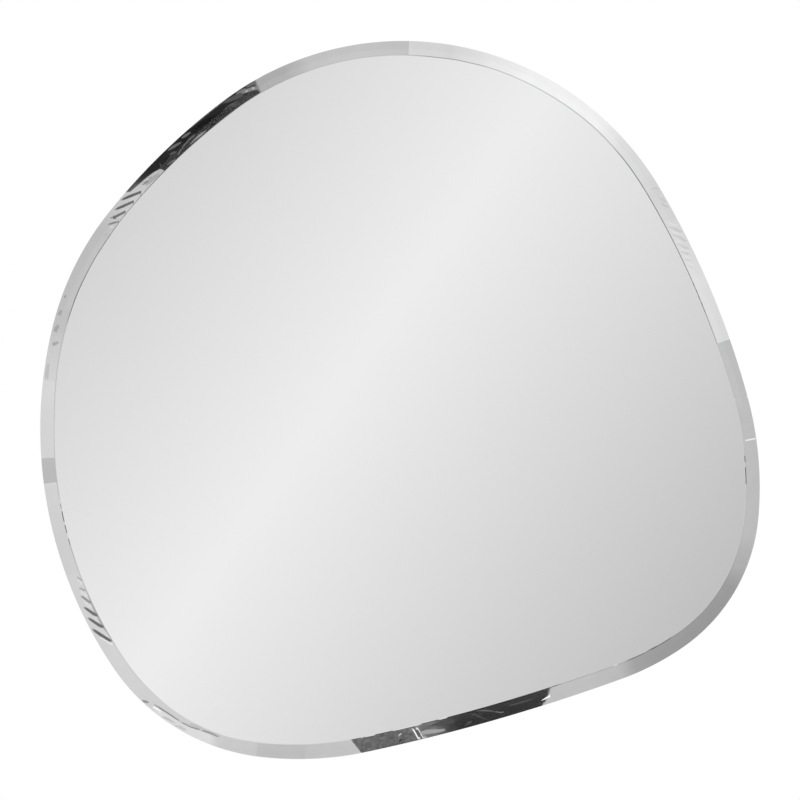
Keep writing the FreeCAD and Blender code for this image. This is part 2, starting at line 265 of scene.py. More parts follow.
class MirrorHardwareSettings(bpy.types.PropertyGroup):
    """Sizes and colours of the hangers, screws and bumpers."""

    wire_radius: size_setting("Ring wire radius", "Radius of the hanger ring's wire", 1.5 * MM)
    sheet_edge: size_setting("Sheet edge", "Rounding along the straps' sheared edges", 0.12 * MM)
    head_radius: size_setting("Screw head radius", "Radius of the screw's pan head", 3.4 * MM)
    head_height: size_setting("Screw head height", "Height of the screw's pan head", 2.1 * MM)
    bumper_radius: size_setting("Bumper radius", "Radius of the bumper's foot", 6.4 * MM)
    bumper_tip: size_setting("Bumper tip radius", "Radius where the bumper meets the wall", 4.8 * MM)
    screw_seed: IntProperty(name="Screw seed", description="Changes how the screws are turned", default=4)
    sheet_colour: colour_setting("Zinc sheet", "Zinc plated strap", (0.62, 0.63, 0.65))
    wire_colour: colour_setting("Ring wire", "Bright plated wire", (0.72, 0.72, 0.74))
    screw_colour: colour_setting("Screws", "Yellowish zinc plated steel", (0.71, 0.64, 0.45))
    rubber_colour: colour_setting("Bumper rubber", "Matt black rubber", (0.028, 0.028, 0.03))


class MirrorStudioSettings(bpy.types.PropertyGroup):
    """Camera, floor and light."""

    eye_distance: size_setting("Camera distance", "From the camera to the pane's edge", 8.0)
    view_width: size_setting("View width", "Width that the picture shows at the pane", 0.6778)
    card_distance: size_setting("Card distance", "How far off the reflected cards stand", 60.0)
    floor_radius: size_setting("Floor radius", "Radius of the floor", 1.8)
    floor_colour: colour_setting("Floor", "Plain pale floor", (0.82, 0.82, 0.82))
    lamp_power: FloatProperty(
        name="Lamp power", description="Power of the key lamp behind the mirror", default=26.0, min=0.0
    )


# ---- helpers for node trees ----------------------------------------------------------------------
NOISE_LOW = 0.3
NOISE_HIGH = 0.7
WHITE = (1.0, 1.0, 1.0, 1.0)


def socket(sockets, key):
    """A socket by its index, or the one in use by its name."""
    if isinstance(key, int):
        return sockets[key]
    return next(s for s in sockets if s.name == key and s.enabled)


def add(tree, kind, inputs=None, **settings):
    """A new node with its settings made, and each input linked to a socket or set to a value."""
    node = tree.nodes.new(kind)
    for name, value in settings.items():
        setattr(node, name, value)
    for key, value in (inputs or {}).items():
        if isinstance(value, bpy.types.NodeSocket):
            tree.links.new(value, socket(node.inputs, key))
        else:
            socket(node.inputs, key).default_value = value
    return node


def out(tree, kind, inputs=None, **settings):
    """First output of a new node."""
    return add(tree, kind, inputs, **settings).outputs[0]


def sums(tree, operation, *values):
    """Result of a Math node."""
    return out(tree, "ShaderNodeMath", dict(enumerate(values)), operation=operation)


def vectors(tree, operation, first, second):
    """Result of a Vector Math node on two vectors."""
    return out(tree, "ShaderNodeVectorMath", {0: first, 1: second}, operation=operation)


def remap(tree, value, low, high, to_low, to_high, kind="LINEAR", clamp=True):
    """A value taken from one range to another."""
    inputs = {"Value": value, "From Min": low, "From Max": high, "To Min": to_low, "To Max": to_high}
    return out(tree, "ShaderNodeMapRange", inputs, interpolation_type=kind, clamp=clamp)


def noise(tree, place, scale, detail=3.0, roughness=0.5, distortion=0.0):
    """Height of a noise texture."""
    inputs = {"Vector": place, "Scale": scale, "Detail": detail, "Roughness": roughness}
    inputs["Distortion"] = distortion
    return out(tree, "ShaderNodeTexNoise", inputs)


def stretched(tree, place, factors, turn=(0, 0, 0)):
    """Coordinates turned and scaled by a Mapping node."""
    return out(tree, "ShaderNodeMapping", {"Vector": place, "Rotation": turn, "Scale": factors})


def tinted(tree, factor, first, second):
    """Two colours mixed."""
    return add(tree, "ShaderNodeMix", {0: factor, 6: first, 7: second}, data_type="RGBA").outputs[2]


def shade(colour, level=1.0):
    """A colour with its brightness scaled, as four numbers."""
    return (*(min(1.0, part * level) for part in colour), 1.0)


def varied(tree, factor, colour, low, high):
    """A colour whose brightness varies between two shares of its own."""
    return tinted(tree, factor, shade(colour, low), shade(colour, high))


def spread(tree, height, low, high):
    """The usual range of a noise's height taken to a range of values."""
    return remap(tree, height, NOISE_LOW, NOISE_HIGH, low, high)


def new_finish(name):
    """An empty material and its tree."""
    finish = bpy.data.materials.new(name)
    finish.use_nodes = True
    finish.node_tree.nodes.clear()
    return finish, finish.node_tree


def placed_finish(name):
    """An empty material, its tree, and the object coordinates of the piece that has it."""
    finish, tree = new_finish(name)
    return finish, tree, add(tree, "ShaderNodeTexCoord").outputs["Object"]


def across_face(tree):
    """How nearly a face looks straight forward or back, from 0 to 1."""
    normal = add(tree, "ShaderNodeTexCoord").outputs["Normal"]
    return sums(tree, "ABSOLUTE", add(tree, "ShaderNodeSeparateXYZ", {0: normal}).outputs["Y"])


def attribute(tree, name, output):
    """One of the piece's own attributes."""
    return add(tree, "ShaderNodeAttribute", attribute_name=name).outputs[output]


def surface(tree, tone, rough, height=None, depth=0.0, **others):
    """A Principled surface, with an optional bump, joined to the output."""
    inputs = {"Base Color": tone, "Roughness": rough}
    inputs.update((name.replace("_", " "), value) for name, value in others.items())
    if height is not None:
        bump = {"Height": height, "Strength": 1.0, "Distance": depth}
        inputs["Normal"] = out(tree, "ShaderNodeBump", bump)
    shader = out(tree, "ShaderNodeBsdfPrincipled", inputs)
    return add(tree, "ShaderNodeOutputMaterial", {"Surface": shader})


def glow(tree, level):
    """A white glow of a given strength."""
    return out(tree, "ShaderNodeEmission", {"Color": WHITE, "Strength": level})


def glowing(finish, tree, shader):
    """Ends a material that glows without being a lamp."""
    add(tree, "ShaderNodeOutputMaterial", {"Surface": shader})
    finish.cycles.emission_sampling = "NONE"
    return finish


# ---- finishes ------------------------------------------------------------------------------------
def float_glass(settings):
    """Clear float glass: optically flat faces, a dull ground nose and arris, faint green depth."""
    finish, tree, place = placed_finish("float_glass")
    edge = remap(tree, across_face(tree), 0.93, 0.75, 0.0, 1.0)
    wheel = noise(tree, stretched(tree, place, (260, 2600, 260)), 1.0, 4.0, 0.6)
    dulled = sums(tree, "MULTIPLY", spread(tree, wheel, 0.06, 0.2), edge)
    tone = tinted(tree, edge, WHITE, (0.9, 0.96, 0.93, 1.0))
    grind = sums(tree, "MULTIPLY", wheel, edge)
    clear = {"Transmission_Weight": 1.0, "IOR": settings.glass_index}
    output = surface(tree, tone, dulled, grind, 0.00002, **clear)
    depth = {"Color": shade(settings.glass_tint), "Density": 2.2}
    tree.links.new(out(tree, "ShaderNodeVolumeAbsorption", depth), output.inputs["Volume"])
    return finish


def silver(settings):
    """Silver laid on the glass, with a hardly visible cloudiness of the bath."""
    finish, tree, place = placed_finish("silver")
    cloud = noise(tree, place, 9.0)
    tone = varied(tree, spread(tree, cloud, 0.0, 1.0), settings.silver_colour, 0.996, 1.0)
    surface(tree, tone, 0.0, Metallic=1.0)
    return finish


def backing_paint(settings):
    """Curtain-coated paint over the silver, with a fine orange peel."""
    finish, tree, place = placed_finish("mirror_backing_paint")
    peel = noise(tree, place, 900.0, 2.0)
    cloud = noise(tree, place, 14.0, 4.0)
    tone = varied(tree, cloud, settings.paint_colour, 0.88, 1.12)
    gloss = spread(tree, peel, 0.34, 0.5)
    surface(tree, tone, gloss, peel, 0.00002)
    return finish


def safety_film(settings):
    """Milky film with a fine reinforcing mesh pressed into it, over grey paint."""
    finish, tree, place = placed_finish("safety_film")
    wave = {"Vector": place, "Scale": 78.0, "Distortion": 0.4}
    warp, weft = [
        add(tree, "ShaderNodeTexWave", wave, bands_direction=way).outputs["Fac"] for way in ("X", "Z")
    ]
    mesh = sums(tree, "MAXIMUM", warp, weft)
    threads = remap(tree, mesh, 0.8, 1.0, 0.0, 1.0, "SMOOTHSTEP")
    haze = noise(tree, place, 11.0, 5.0, 0.6)
    wet_out = remap(tree, haze, 0.35, 0.68, 0.0, 1.0)
    base = varied(tree, wet_out, settings.film_colour, 0.9, 1.06)
    tone = tinted(tree, sums(tree, "MULTIPLY", threads, 0.4), base, shade(settings.film_colour, 1.35))
    wrinkle = noise(tree, stretched(tree, place, (40, 40, 9)), 1.0, 3.0)
    height = sums(tree, "ADD", sums(tree, "MULTIPLY", threads, 0.25), wrinkle)
    gloss = spread(tree, haze, 0.3, 0.46)
    surface(tree, tone, gloss, height, 0.00012)
    return finish


def fibreboard(settings):
    """Raw fibreboard: sanded faces with short fibres and faint belt marks, darker sawn edges."""
    finish, tree, place = placed_finish("fibreboard")
    sawn = remap(tree, across_face(tree), 0.9, 0.6, 0.0, 1.0)
    flecks = noise(tree, place, 620.0, 4.0, 0.65, 0.6)
    fibres = noise(tree, stretched(tree, place, (900, 900, 160), (0, 0.5, 0)), 1.0, 3.0, 0.6, 1.2)
    cloud = noise(tree, place, 7.0, 4.0, 0.55)
    belt = noise(tree, stretched(tree, place, (1500, 40, 5)), 1.0, 2.0)
    board = settings.board_colour
    base = varied(tree, spread(tree, cloud, 0.0, 1.0), board, 0.9, 1.08)
    for marks, low, high, most, level in (
        (flecks, 0.6, 0.72, 0.55, 0.55),
        (fibres, 0.6, 0.75, 0.4, 1.5),
        (belt, 0.55, 0.8, 0.22, 1.25),
    ):
        base = tinted(tree, remap(tree, marks, low, high, 0.0, most), base, shade(board, level))
    core = noise(tree, stretched(tree, place, (160, 900, 160)), 1.0, 3.0)
    edge = varied(tree, core, board, 0.5, 0.78)
    tone = tinted(tree, sawn, base, edge)
    height = sums(tree, "ADD", flecks, sums(tree, "ADD", fibres, sums(tree, "MULTIPLY", core, sawn)))
    rough = spread(tree, flecks, 0.72, 0.9)
    surface(tree, tone, rough, height, 0.00006, Specular_IOR_Level=0.3)
    return finish


def foam_tape(settings):
    """White closed-cell foam, with its cells cut open along the edges."""
    finish, tree, place = placed_finish("foam_tape")
    cells = add(tree, "ShaderNodeTexVoronoi", {"Vector": place, "Scale": 2400.0}).outputs["Distance"]
    cloud = noise(tree, place, 60.0, 3.0)
    base = varied(tree, cloud, settings.tape_colour, 0.92, 1.06)
    tone = tinted(tree, remap(tree, cells, 0.0, 0.5, 0.0, 0.35), base, shade(settings.tape_colour, 0.7))
    surface(tree, tone, 0.8, cells, 0.00008)
    return finish


def cured_adhesive(settings):
    """Pressed and cured mirror adhesive, skinned over, with small trapped bubbles."""
    finish, tree, place = placed_finish("mirror_adhesive")
    bubbles = add(tree, "ShaderNodeTexVoronoi", {"Vector": place, "Scale": 700.0}).outputs["Distance"]
    folds = noise(tree, place, 130.0, 4.0, 0.6, 1.5)
    tone = varied(tree, folds, settings.adhesive_colour, 0.7, 1.6)
    height = sums(tree, "ADD", folds, remap(tree, bubbles, 0.0, 0.3, -0.3, 0.0))
    gloss = spread(tree, folds, 0.35, 0.6)
    surface(tree, tone, gloss, height, 0.0002)
    return finish


def bumper_rubber(settings):
    """Moulded black rubber with a spark-eroded texture and dust on its high spots."""
    finish, tree, place = placed_finish("bumper_rubber")
    grain = noise(tree, place, 2600.0, 3.0, 0.6)
    dust = noise(tree, place, 420.0, 4.0, 0.6)
    dusty = remap(tree, dust, 0.5, 0.75, 0.0, 0.5)
    tone = tinted(tree, dusty, shade(settings.rubber_colour), shade(settings.rubber_colour, 3.2))
    rough = spread(tree, grain, 0.55, 0.75)
    surface(tree, tone, rough, grain, 0.00006, Specular_IOR_Level=0.4)
    return finish


def zinc_sheet(settings):
    """Zinc plated strip: rolling lines along it, dull clouds in the plating, rubbed bright spots."""
    finish, tree, place = placed_finish("zinc_sheet")
    rolling = noise(tree, stretched(tree, place, (5200, 5200, 60)), 1.0, 3.0, 0.6)
    cloud = noise(tree, place, 210.0, 5.0, 0.6, 0.8)
    rubbed = remap(tree, noise(tree, place, 90.0, 3.0), 0.55, 0.7, 0.0, 1.0)
    base = varied(tree, cloud, settings.sheet_colour, 0.82, 1.1)
    tone = tinted(tree, sums(tree, "MULTIPLY", rubbed, 0.4), base, shade(settings.sheet_colour, 1.28))
    polish = sums(tree, "MULTIPLY", rubbed, 0.1)
    gloss = sums(tree, "SUBTRACT", spread(tree, cloud, 0.3, 0.46), polish)
    surface(tree, tone, gloss, rolling, 0.00001, Metallic=1.0)
    return finish


def plated_wire(settings):
    """Bright plated wire: fine drawing lines that follow it, and a slightly dulled plating."""
    finish, tree, place = placed_finish("plated_wire")
    around = attribute(tree, "around", "Vector")
    along = attribute(tree, "along", "Fac")
    drift = out(tree, "ShaderNodeCombineXYZ", {0: sums(tree, "MULTIPLY", along, 0.02)})
    lines = noise(tree, vectors(tree, "ADD", around, drift), 5200.0, 3.0, 0.6)
    cloud = noise(tree, place, 260.0, 4.0)
    tone = varied(tree, cloud, settings.wire_colour, 0.9, 1.1)
    gloss = spread(tree, cloud, 0.12, 0.26)
    surface(tree, tone, gloss, lines, 0.000006, Metallic=1.0)
    return finish


def screw_steel(settings):
    """Yellow zinc plating with a faint change of hue and pressing marks."""
    finish, tree, place = placed_finish("screw_steel")
    cloud = noise(tree, place, 480.0, 4.0, 0.6, 0.5)
    iris = noise(tree, place, 150.0, 3.0)
    base = varied(tree, cloud, settings.screw_colour, 0.82, 1.12)
    tone = tinted(tree, remap(tree, iris, 0.4, 0.7, 0.0, 0.35), base, (0.66, 0.6, 0.58, 1.0))
    marks = noise(tree, place, 2400.0, 3.0)
    gloss = spread(tree, cloud, 0.2, 0.36)
    surface(tree, tone, gloss, marks, 0.000012, Metallic=1.0)
    return finish


# ---- geometry node trees -------------------------------------------------------------------------
def new_tree(name, inputs):
    """An empty geometry tree with its named inputs, its entry and its exit."""
    tree = bpy.data.node_groups.new(name, "GeometryNodeTree")
    for label, kind in inputs:
        tree.interface.new_socket(label, in_out="INPUT", socket_type=f"NodeSocket{kind}")
    tree.interface.new_socket("Geometry", in_out="OUTPUT", socket_type="NodeSocketGeometry")
    return tree, tree.nodes.new("NodeGroupInput").outputs, tree.nodes.new("NodeGroupOutput").inputs


def kept_attribute(tree, name, kind):
    """An attribute of the geometry by its name."""
    found = add(tree, "GeometryNodeInputNamedAttribute", {"Name": name}, data_type=kind)
    return socket(found.outputs, "Attribute")


def by_chance(tree, least, most, seed):
    """A random number for each point."""
    found = {"Min": least, "Max": most, "Seed": seed}
    return socket(add(tree, "FunctionNodeRandomValue", found, data_type="FLOAT").outputs, "Value")


def realised(tree, geometry, finish):
    """Real geometry with its finish."""
    real = out(tree, "GeometryNodeRealizeInstances", {0: geometry})
    return out(tree, "GeometryNodeSetMaterial", {"Geometry": real, "Material": finish})


def stepped_plate(levels):
    """Raises a flat outline forward through levels, each with its inset from the edge and its height."""
    inputs = [("Outline", "Geometry")]
    for level in range(1, levels + 1):
        inputs += [(f"Level {level} inset", "Float"), (f"Level {level} height", "Float")]
    inputs += [("Body finish", "Material"), ("Rear finish", "Material")]
    tree, given, result = new_tree("stepped_plate", inputs)
    rim, outward = [kept_attribute(tree, name, "FLOAT_VECTOR") for name in ("rim", "outward")]
    solid = given["Outline"]
    top = None
    for level in range(1, levels + 1):
        raising = {"Mesh": solid, "Offset Scale": 0.0, "Individual": False}
        if top is not None:
            raising["Selection"] = top
        raised = add(tree, "GeometryNodeExtrudeMesh", raising, mode="FACES")
        top = raised.outputs["Top"]
        inset = given[f"Level {level} inset"]
        if level == levels:
            inset = sums(tree, "ADD", inset, kept_attribute(tree, "stray", "FLOAT"))
        inward = add(tree, "ShaderNodeVectorMath", {0: outward, "Scale": inset}, operation="SCALE")
        lift = add(tree, "ShaderNodeCombineXYZ", {1: given[f"Level {level} height"]})
        shift = vectors(tree, "ADD", inward.outputs[0], lift.outputs[0])
        place = vectors(tree, "SUBTRACT", rim, shift)
        moved = {"Geometry": raised.outputs["Mesh"], "Selection": top, "Position": place}
        solid = out(tree, "GeometryNodeSetPosition", moved)
    rear = out(tree, "GeometryNodeFlipFaces", {"Mesh": given["Outline"]})
    joined = tree.nodes.new("GeometryNodeJoinGeometry")
    tree.links.new(solid, joined.inputs[0])
    tree.links.new(rear, joined.inputs[0])
    closing = {"Geometry": joined.outputs[0], "Distance": MERGE}
    closed = out(tree, "GeometryNodeMergeByDistance", closing)
    smooth = out(tree, "GeometryNodeSetShadeSmooth", {0: closed})
    body = realised(tree, smooth, given["Body finish"])
    way = add(tree, "ShaderNodeSeparateXYZ", {0: out(tree, "GeometryNodeInputNormal")})
    test = {"data_type": "FLOAT", "operation": "GREATER_THAN"}
    behind = out(tree, "FunctionNodeCompare", {"A": way.outputs["Y"], "B": 0.9}, **test)
    finish = {"Geometry": body, "Selection": behind, "Material": given["Rear finish"]}
    tree.links.new(out(tree, "GeometryNodeSetMaterial", finish), result[0])
    return tree


def set_out():
    """Puts a copy of one pattern piece on each point, turned about Y and sized by chance."""
    inputs = [
        ("Places", "Geometry"),
        ("Pattern", "Object"),
        ("Most turn", "Float"),
        ("Least size", "Float"),
        ("Seed", "Int"),
        ("Finish", "Material"),
    ]
    tree, given, result = new_tree("set_out", inputs)
    pattern = add(tree, "GeometryNodeObjectInfo", {"Object": given["Pattern"]}, transform_space="ORIGINAL")
    turn = by_chance(tree, 0.0, given["Most turn"], given["Seed"])
    size = by_chance(tree, given["Least size"], 1.0, given["Seed"])
    turned = out(tree, "ShaderNodeCombineXYZ", {1: turn})
    sized = out(tree, "ShaderNodeCombineXYZ", {0: size, 1: 1.0, 2: size})
    placing = {
        "Points": given["Places"],
        "Instance": pattern.outputs["Geometry"],
        "Rotation": turned,
        "Scale": sized,
    }
    placed = out(tree, "GeometryNodeInstanceOnPoints", placing)
    tree.links.new(realised(tree, placed, given["Finish"]), result[0])
    return tree


def drawn_wire():
    """Sweeps a round wire along a closed path, and keeps where each point lies along and around it."""
    inputs = (("Path", "Geometry"), ("Wire radius", "Float"), ("Sides", "Int"), ("Finish", "Material"))
    tree, given, result = new_tree("drawn_wire", inputs)
    path = out(tree, "GeometryNodeMeshToCurve", {0: given["Path"]})
    distance = add(tree, "GeometryNodeSplineParameter").outputs["Length"]
    store = "GeometryNodeStoreNamedAttribute"
    kept = {"Geometry": path, "Name": "along", "Value": distance}
    path = out(tree, store, kept, data_type="FLOAT", domain="POINT")
    rounds = {"Resolution": given["Sides"], "Radius": given["Wire radius"]}
    section = out(tree, "GeometryNodeCurvePrimitiveCircle", rounds, mode="RADIUS")
    place = out(tree, "GeometryNodeInputPosition")
    kept = {"Geometry": section, "Name": "around", "Value": place}
    section = out(tree, store, kept, data_type="FLOAT_VECTOR", domain="POINT")
    wire = out(tree, "GeometryNodeCurveToMesh", {"Curve": path, "Profile Curve": section})
    smooth = out(tree, "GeometryNodeSetShadeSmooth", {0: wire})
    tree.links.new(realised(tree, smooth, given["Finish"]), result[0])
    return tree


# ---- helpers for pieces --------------------------------------------------------------------------
def shown(name, data):
    """A mesh, lamp or camera as an object in the scene."""
    thing = bpy.data.objects.new(name, data)
    bpy.context.scene.collection.objects.link(thing)
    return thing


def mesh_from(name, points, faces=(), edges=()):
    """A mesh from its points and faces."""
    mesh = bpy.data.meshes.new(name)
    mesh.from_pydata(points, list(edges), list(faces))
    return mesh


def plain_mesh(thing):
    """What an object's modifiers make, as a mesh of its own. The object goes."""
    bpy.context.view_layer.update()
    graph = bpy.context.evaluated_depsgraph_get()
    mesh = bpy.data.meshes.new_from_object(
        thing.evaluated_get(graph), preserve_all_data_layers=True, depsgraph=graph
    )
    thing.modifiers.clear()
    bpy.data.objects.remove(thing)
    return mesh


def grown(base, tree, values):
    """The mesh that a tree grows from a base mesh with the given inputs."""
    thing = shown(base.name, base)
    modifier = thing.modifiers.new("nodes", "NODES")
    modifier.node_group = tree
    for item in tree.interface.items_tree:
        if item.in_out == "INPUT" and item.name in values:
            modifier[item.identifier] = values[item.name]
    return plain_mesh(thing)


def smoothed(mesh, angle):
    """A mesh shaded smooth, but for edges sharper than an angle in degrees."""
    mesh.shade_smooth()
    mesh.set_sharp_from_angle(angle=math.radians(angle))
    return mesh


def fitted(name, mesh, body, nodes):
    """A finished piece on its body, in place of its CAD nodes."""
    mesh.name = name
    piece = shown(name, mesh)
    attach(piece, body)
    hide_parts(*nodes)


def plate(base, levels, body_finish, rear_finish, angle=SHARP):
    """The mesh raised from a flat outline through (inset, height) levels."""
    values = {"Body finish": body_finish, "Rear finish": rear_finish}
    for number, (inset, height) in enumerate(levels, 1):
        values[f"Level {number} inset"] = inset
        values[f"Level {number} height"] = height
    return smoothed(grown(base, stepped_plate(len(levels)), values), angle)


def copies(pattern, places, finish, most_turn, seed, least_size=1.0):
    """The mesh of a pattern piece copied to each place. The pattern goes."""
    values = {
        "Pattern": pattern,
        "Most turn": most_turn,
        "Least size": least_size,
        "Seed": seed,
        "Finish": finish,
    }
    mesh = grown(mesh_from(f"{pattern.name}_places", places), set_out(), values)
    bpy.data.objects.remove(pattern)
    return mesh


def dressed(node, finish):
    """A CAD node kept as it is, with a better finish."""
    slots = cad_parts[node].material_slots
    if not slots:
        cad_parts[node].data.materials.append(finish)
    for place in slots:
        place.material = finish


def outline_face(name, step, inset, y, stray_width=0.0):
    """A flat face of the outline that faces forward. Its points keep their rim and way outward."""
    rims = []
    ways = []
    strays = []
    for centre, radius, start, end in ARCS:
        count = math.ceil(math.radians(end - start) * radius / step)
        for number in range(count):
            angle = start + (end - start) * number / count
            way = facing(angle)
            ways.append(way)
            rims.append(centre + way * radius + INTO_WALL * y)
            strays.append(stray(angle) * stray_width)
    points = [rim - way * inset for rim, way in zip(rims, ways)]
    mesh = mesh_from(name, points, [range(len(points))])
    for label, vectors in (("rim", rims), ("outward", ways)):
        kept = mesh.attributes.new(label, "FLOAT_VECTOR", "POINT")
        kept.data.foreach_set("vector", [part for vector in vectors for part in vector])
    mesh.attributes.new("stray", "FLOAT", "POINT").data.foreach_set("value", strays)
    return mesh


def lathed(name, profile, sides):
    """A closed solid turned about the Y axis from (radius, y) points that start and end on it."""
    points = []
    rings = []
    for radius, y in profile:
        if radius == 0.0:
            rings.append([len(points)])
            points.append((0.0, y, 0.0))
            continue
        rings.append(list(range(len(points), len(points) + sides)))
        for side in range(sides):
            way = facing(360.0 * side / sides)
            points.append((way.x * radius, y, way.z * radius))
    faces = []
    for lower, upper in zip(rings, rings[1:]):
        for side in range(sides):
            after = (side + 1) % sides
            if len(lower) == 1:
                faces.append((lower[0], upper[side], upper[after]))
            elif len(upper) == 1:
                faces.append((lower[side], upper[0], lower[after]))
            else:
                faces.append((lower[side], upper[side], upper[after], lower[after]))
    mesh = mesh_from(name, points, faces)
    outwards(mesh)
    return mesh


def outwards(mesh):
    """Turns the faces of a closed mesh outwards, after its doubles are merged."""
    work = bmesh.new()
    work.from_mesh(mesh)
    bmesh.ops.remove_doubles(work, verts=work.verts, dist=MERGE)
    bmesh.ops.recalc_face_normals(work, faces=work.faces)
    work.to_mesh(mesh)
    work.free()


def rounded_corner(middle, radius, start, end, steps):
    """Points of an arc as (across, up) pairs, between two angles in degrees."""
    angles = [math.radians(start + (end - start) * step / steps) for step in range(steps + 1)]
    return [(middle[0] + radius * math.cos(a), middle[1] + radius * math.sin(a)) for a in angles]


# ---- the pieces ----------------------------------------------------------------------------------
def make_pane(settings):
    """The bevelled pane, with silver on its rear face inside the same closed skin."""
    step = settings.edge_step
    base = outline_face("pane_outline", step, settings.arris, GLASS_REAR, settings.bevel_stray)
    levels = (
        (0.0, settings.arris),
        (0.0, settings.nose_thickness),
        (settings.bevel_width, GLASS_THICKNESS),
    )
    mesh = plate(base, levels, float_glass(settings), silver(settings), BEVEL_SHARP)
    fitted("bevelled_pane", mesh, "mirror", ["mirror_glass"])


def make_silvering(settings):
    """The coating's own sheet: silver in front, grey paint behind."""
    base = outline_face("coating_outline", 2 * settings.edge_step, settings.arris, COATING_REAR)
    levels = ((settings.arris, COATING_REAR - GLASS_REAR - SILVER_GAP),)
    mesh = plate(base, levels, silver(settings), backing_paint(settings))
    fitted("painted_silvering", mesh, "mirror", ["silver_coating"])


def make_board(settings):
    """The backing board, eased round both faces."""
    easing = settings.board_easing
    base = outline_face("board_outline", BOARD_EDGE_STEP, BOARD_INSET + easing, BOARD_REAR)
    finish = fibreboard(settings)
    levels = (
        (BOARD_INSET, easing),
        (BOARD_INSET, BOARD_THICKNESS - easing),
        (BOARD_INSET + easing, BOARD_THICKNESS),
    )
    mesh = plate(base, levels, finish, finish)
    fitted("sanded_board", mesh, "mirror", ["backing_board"])


def make_dabs(settings):
    """Dabs of adhesive, pressed flat into uneven discs between the film and the board."""
    sides = 72
    rings = 7
    least_size = 0.93
    half = (BOARD_FRONT - FILM_REAR) / 2
    points = []
    faces = []
    for ring in range(rings):
        swell = math.pi * (ring / (rings - 1) - 0.5)
        for side in range(sides):
            angle = math.tau * side / sides
            lobes = 0.94 + 0.03 * math.sin(3 * angle + 0.6) + 0.02 * math.sin(7 * angle)
            radius = settings.dab_radius * lobes - half * (1 - math.cos(swell))
            points.append((radius * math.cos(angle), half * math.sin(swell), radius * math.sin(angle)))
    for ring in range(rings - 1):
        for side in range(sides):
            low = ring * sides
            after = (side + 1) % sides
            faces.append((low + side, low + sides + side, low + sides + after, low + after))
    faces.append(list(range(sides)))
    faces.append(list(range((rings - 1) * sides, rings * sides)))
    pattern_mesh = mesh_from("dab", points, faces)
    outwards(pattern_mesh)
    pattern = shown("dab", smoothed(pattern_mesh, 40.0))
    places = []
    for x in DAB_COLUMNS:
        low, high = span_at(ARCS, x, DAB_EDGE_MARGIN)
        rows = int((high - low) // DAB_ROW_SPACING) + 1
        for row in range(rows):
            z = (low + high) / 2 + (row - (rows - 1) / 2) * DAB_ROW_SPACING
            places.append((x, (BOARD_FRONT + FILM_REAR) / 2, z))
    mesh = copies(pattern, places, cured_adhesive(settings), math.tau, settings.dab_seed, least_size)
    fitted("pressed_adhesive", mesh, "mirror", ["adhesive_dabs"])


def make_bumpers(settings):
    """Four tapered rubber bumpers with a small moulding dimple where they meet the wall."""
    easing = 0.2 * MM
    rounding = 0.6 * MM
    rim_height = 0.9 * MM
    dimple = 1.3 * MM
    foot = settings.bumper_radius
    tip = settings.bumper_tip
    profile = [(0.0, BOARD_REAR), (foot - easing, BOARD_REAR), (foot, BOARD_REAR + easing)]
    profile.append((foot - easing / 2, BOARD_REAR + rim_height))
    profile += rounded_corner((tip - rounding, -rounding), rounding, 8.0, 90.0, 6)
    profile += [(dimple, 0.0), (0.8 * dimple, -0.12 * MM), (0.4 * dimple, -0.3 * MM), (0.0, -0.36 * MM)]
    sides = 56
    pattern = shown("bumper", smoothed(lathed("bumper", profile, sides), 35.0))
    places = [edge_point(ARCS, angle, BUMPER_INSET) for angle in BUMPER_FACINGS.values()]
    mesh = copies(pattern, places, bumper_rubber(settings), math.tau, BUMPER_SEED)
    nodes = [f"{name}_bumper" for name in BUMPER_FACINGS]
    fitted("wall_bumpers", mesh, "mirror", nodes)


def make_straps(settings):
    """The folded straps, from the CAD sheets with their sheared edges rounded."""
    finish = zinc_sheet(settings)
    for side in HANGER_SIDES:
        node = f"{side}_hanger_strap"
        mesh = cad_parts[node].data.copy()
        work = bmesh.new()
        work.from_mesh(mesh)
        bmesh.ops.remove_doubles(work, verts=work.verts, dist=MERGE)
        bmesh.ops.dissolve_limit(work, angle_limit=FLAT_ANGLE, verts=work.verts, edges=work.edges)
        work.to_mesh(mesh)
        work.free()
        thing = shown(f"{side}_strap_blank", mesh)
        edging = thing.modifiers.new("sheared_edges", "BEVEL")
        edging.width = settings.sheet_edge
        edging.segments = 2
        edging.limit_method = "ANGLE"
        edging.angle_limit = SHEARED_ANGLE
        mesh = smoothed(plain_mesh(thing), 35.0)
        mesh.materials.clear()
        mesh.materials.append(finish)
        fitted(f"{side}_folded_strap", mesh, "mirror", [node])


def ring_path(x):
    """The wire's middle line: a straight bar in the strap's eye, two heels and a round bow."""
    half = RING_HALF_WIDTH
    spring = RING_REACH - half
    bar = half - RING_HEEL
    flat = rounded_corner((bar, RING_HEEL), RING_HEEL, -90, 0, 8)
    flat += rounded_corner((0, spring), half, 0, 180, 40)
    flat += rounded_corner((-bar, RING_HEEL), RING_HEEL, 180, 270, 8)
    flat += [(-bar * (1 - 2 * step / RING_BAR_STEPS), 0.0) for step in range(1, RING_BAR_STEPS)]
    lean = Matrix.Rotation(math.radians(RING_LEAN), 3, "X")
    return [Vector((x, PIVOT_Y, PIVOT_Z)) + lean @ Vector((across, 0, up)) for across, up in flat]


def make_rings(settings):
    """The two D rings of plated wire, each on its own body."""
    finish = plated_wire(settings)
    tree = drawn_wire()
    for side, x in HANGER_SIDES.items():
        points = ring_path(x)
        edges = [(number, (number + 1) % len(points)) for number in range(len(points))]
        values = {"Wire radius": settings.wire_radius, "Sides": WIRE_SIDES, "Finish": finish}
        mesh = grown(mesh_from(f"{side}_ring_path", points, (), edges), tree, values)
        outwards(mesh)
        fitted(f"{side}_wire_ring", mesh, f"{side}_ring", [f"{side}_hanger_ring"])


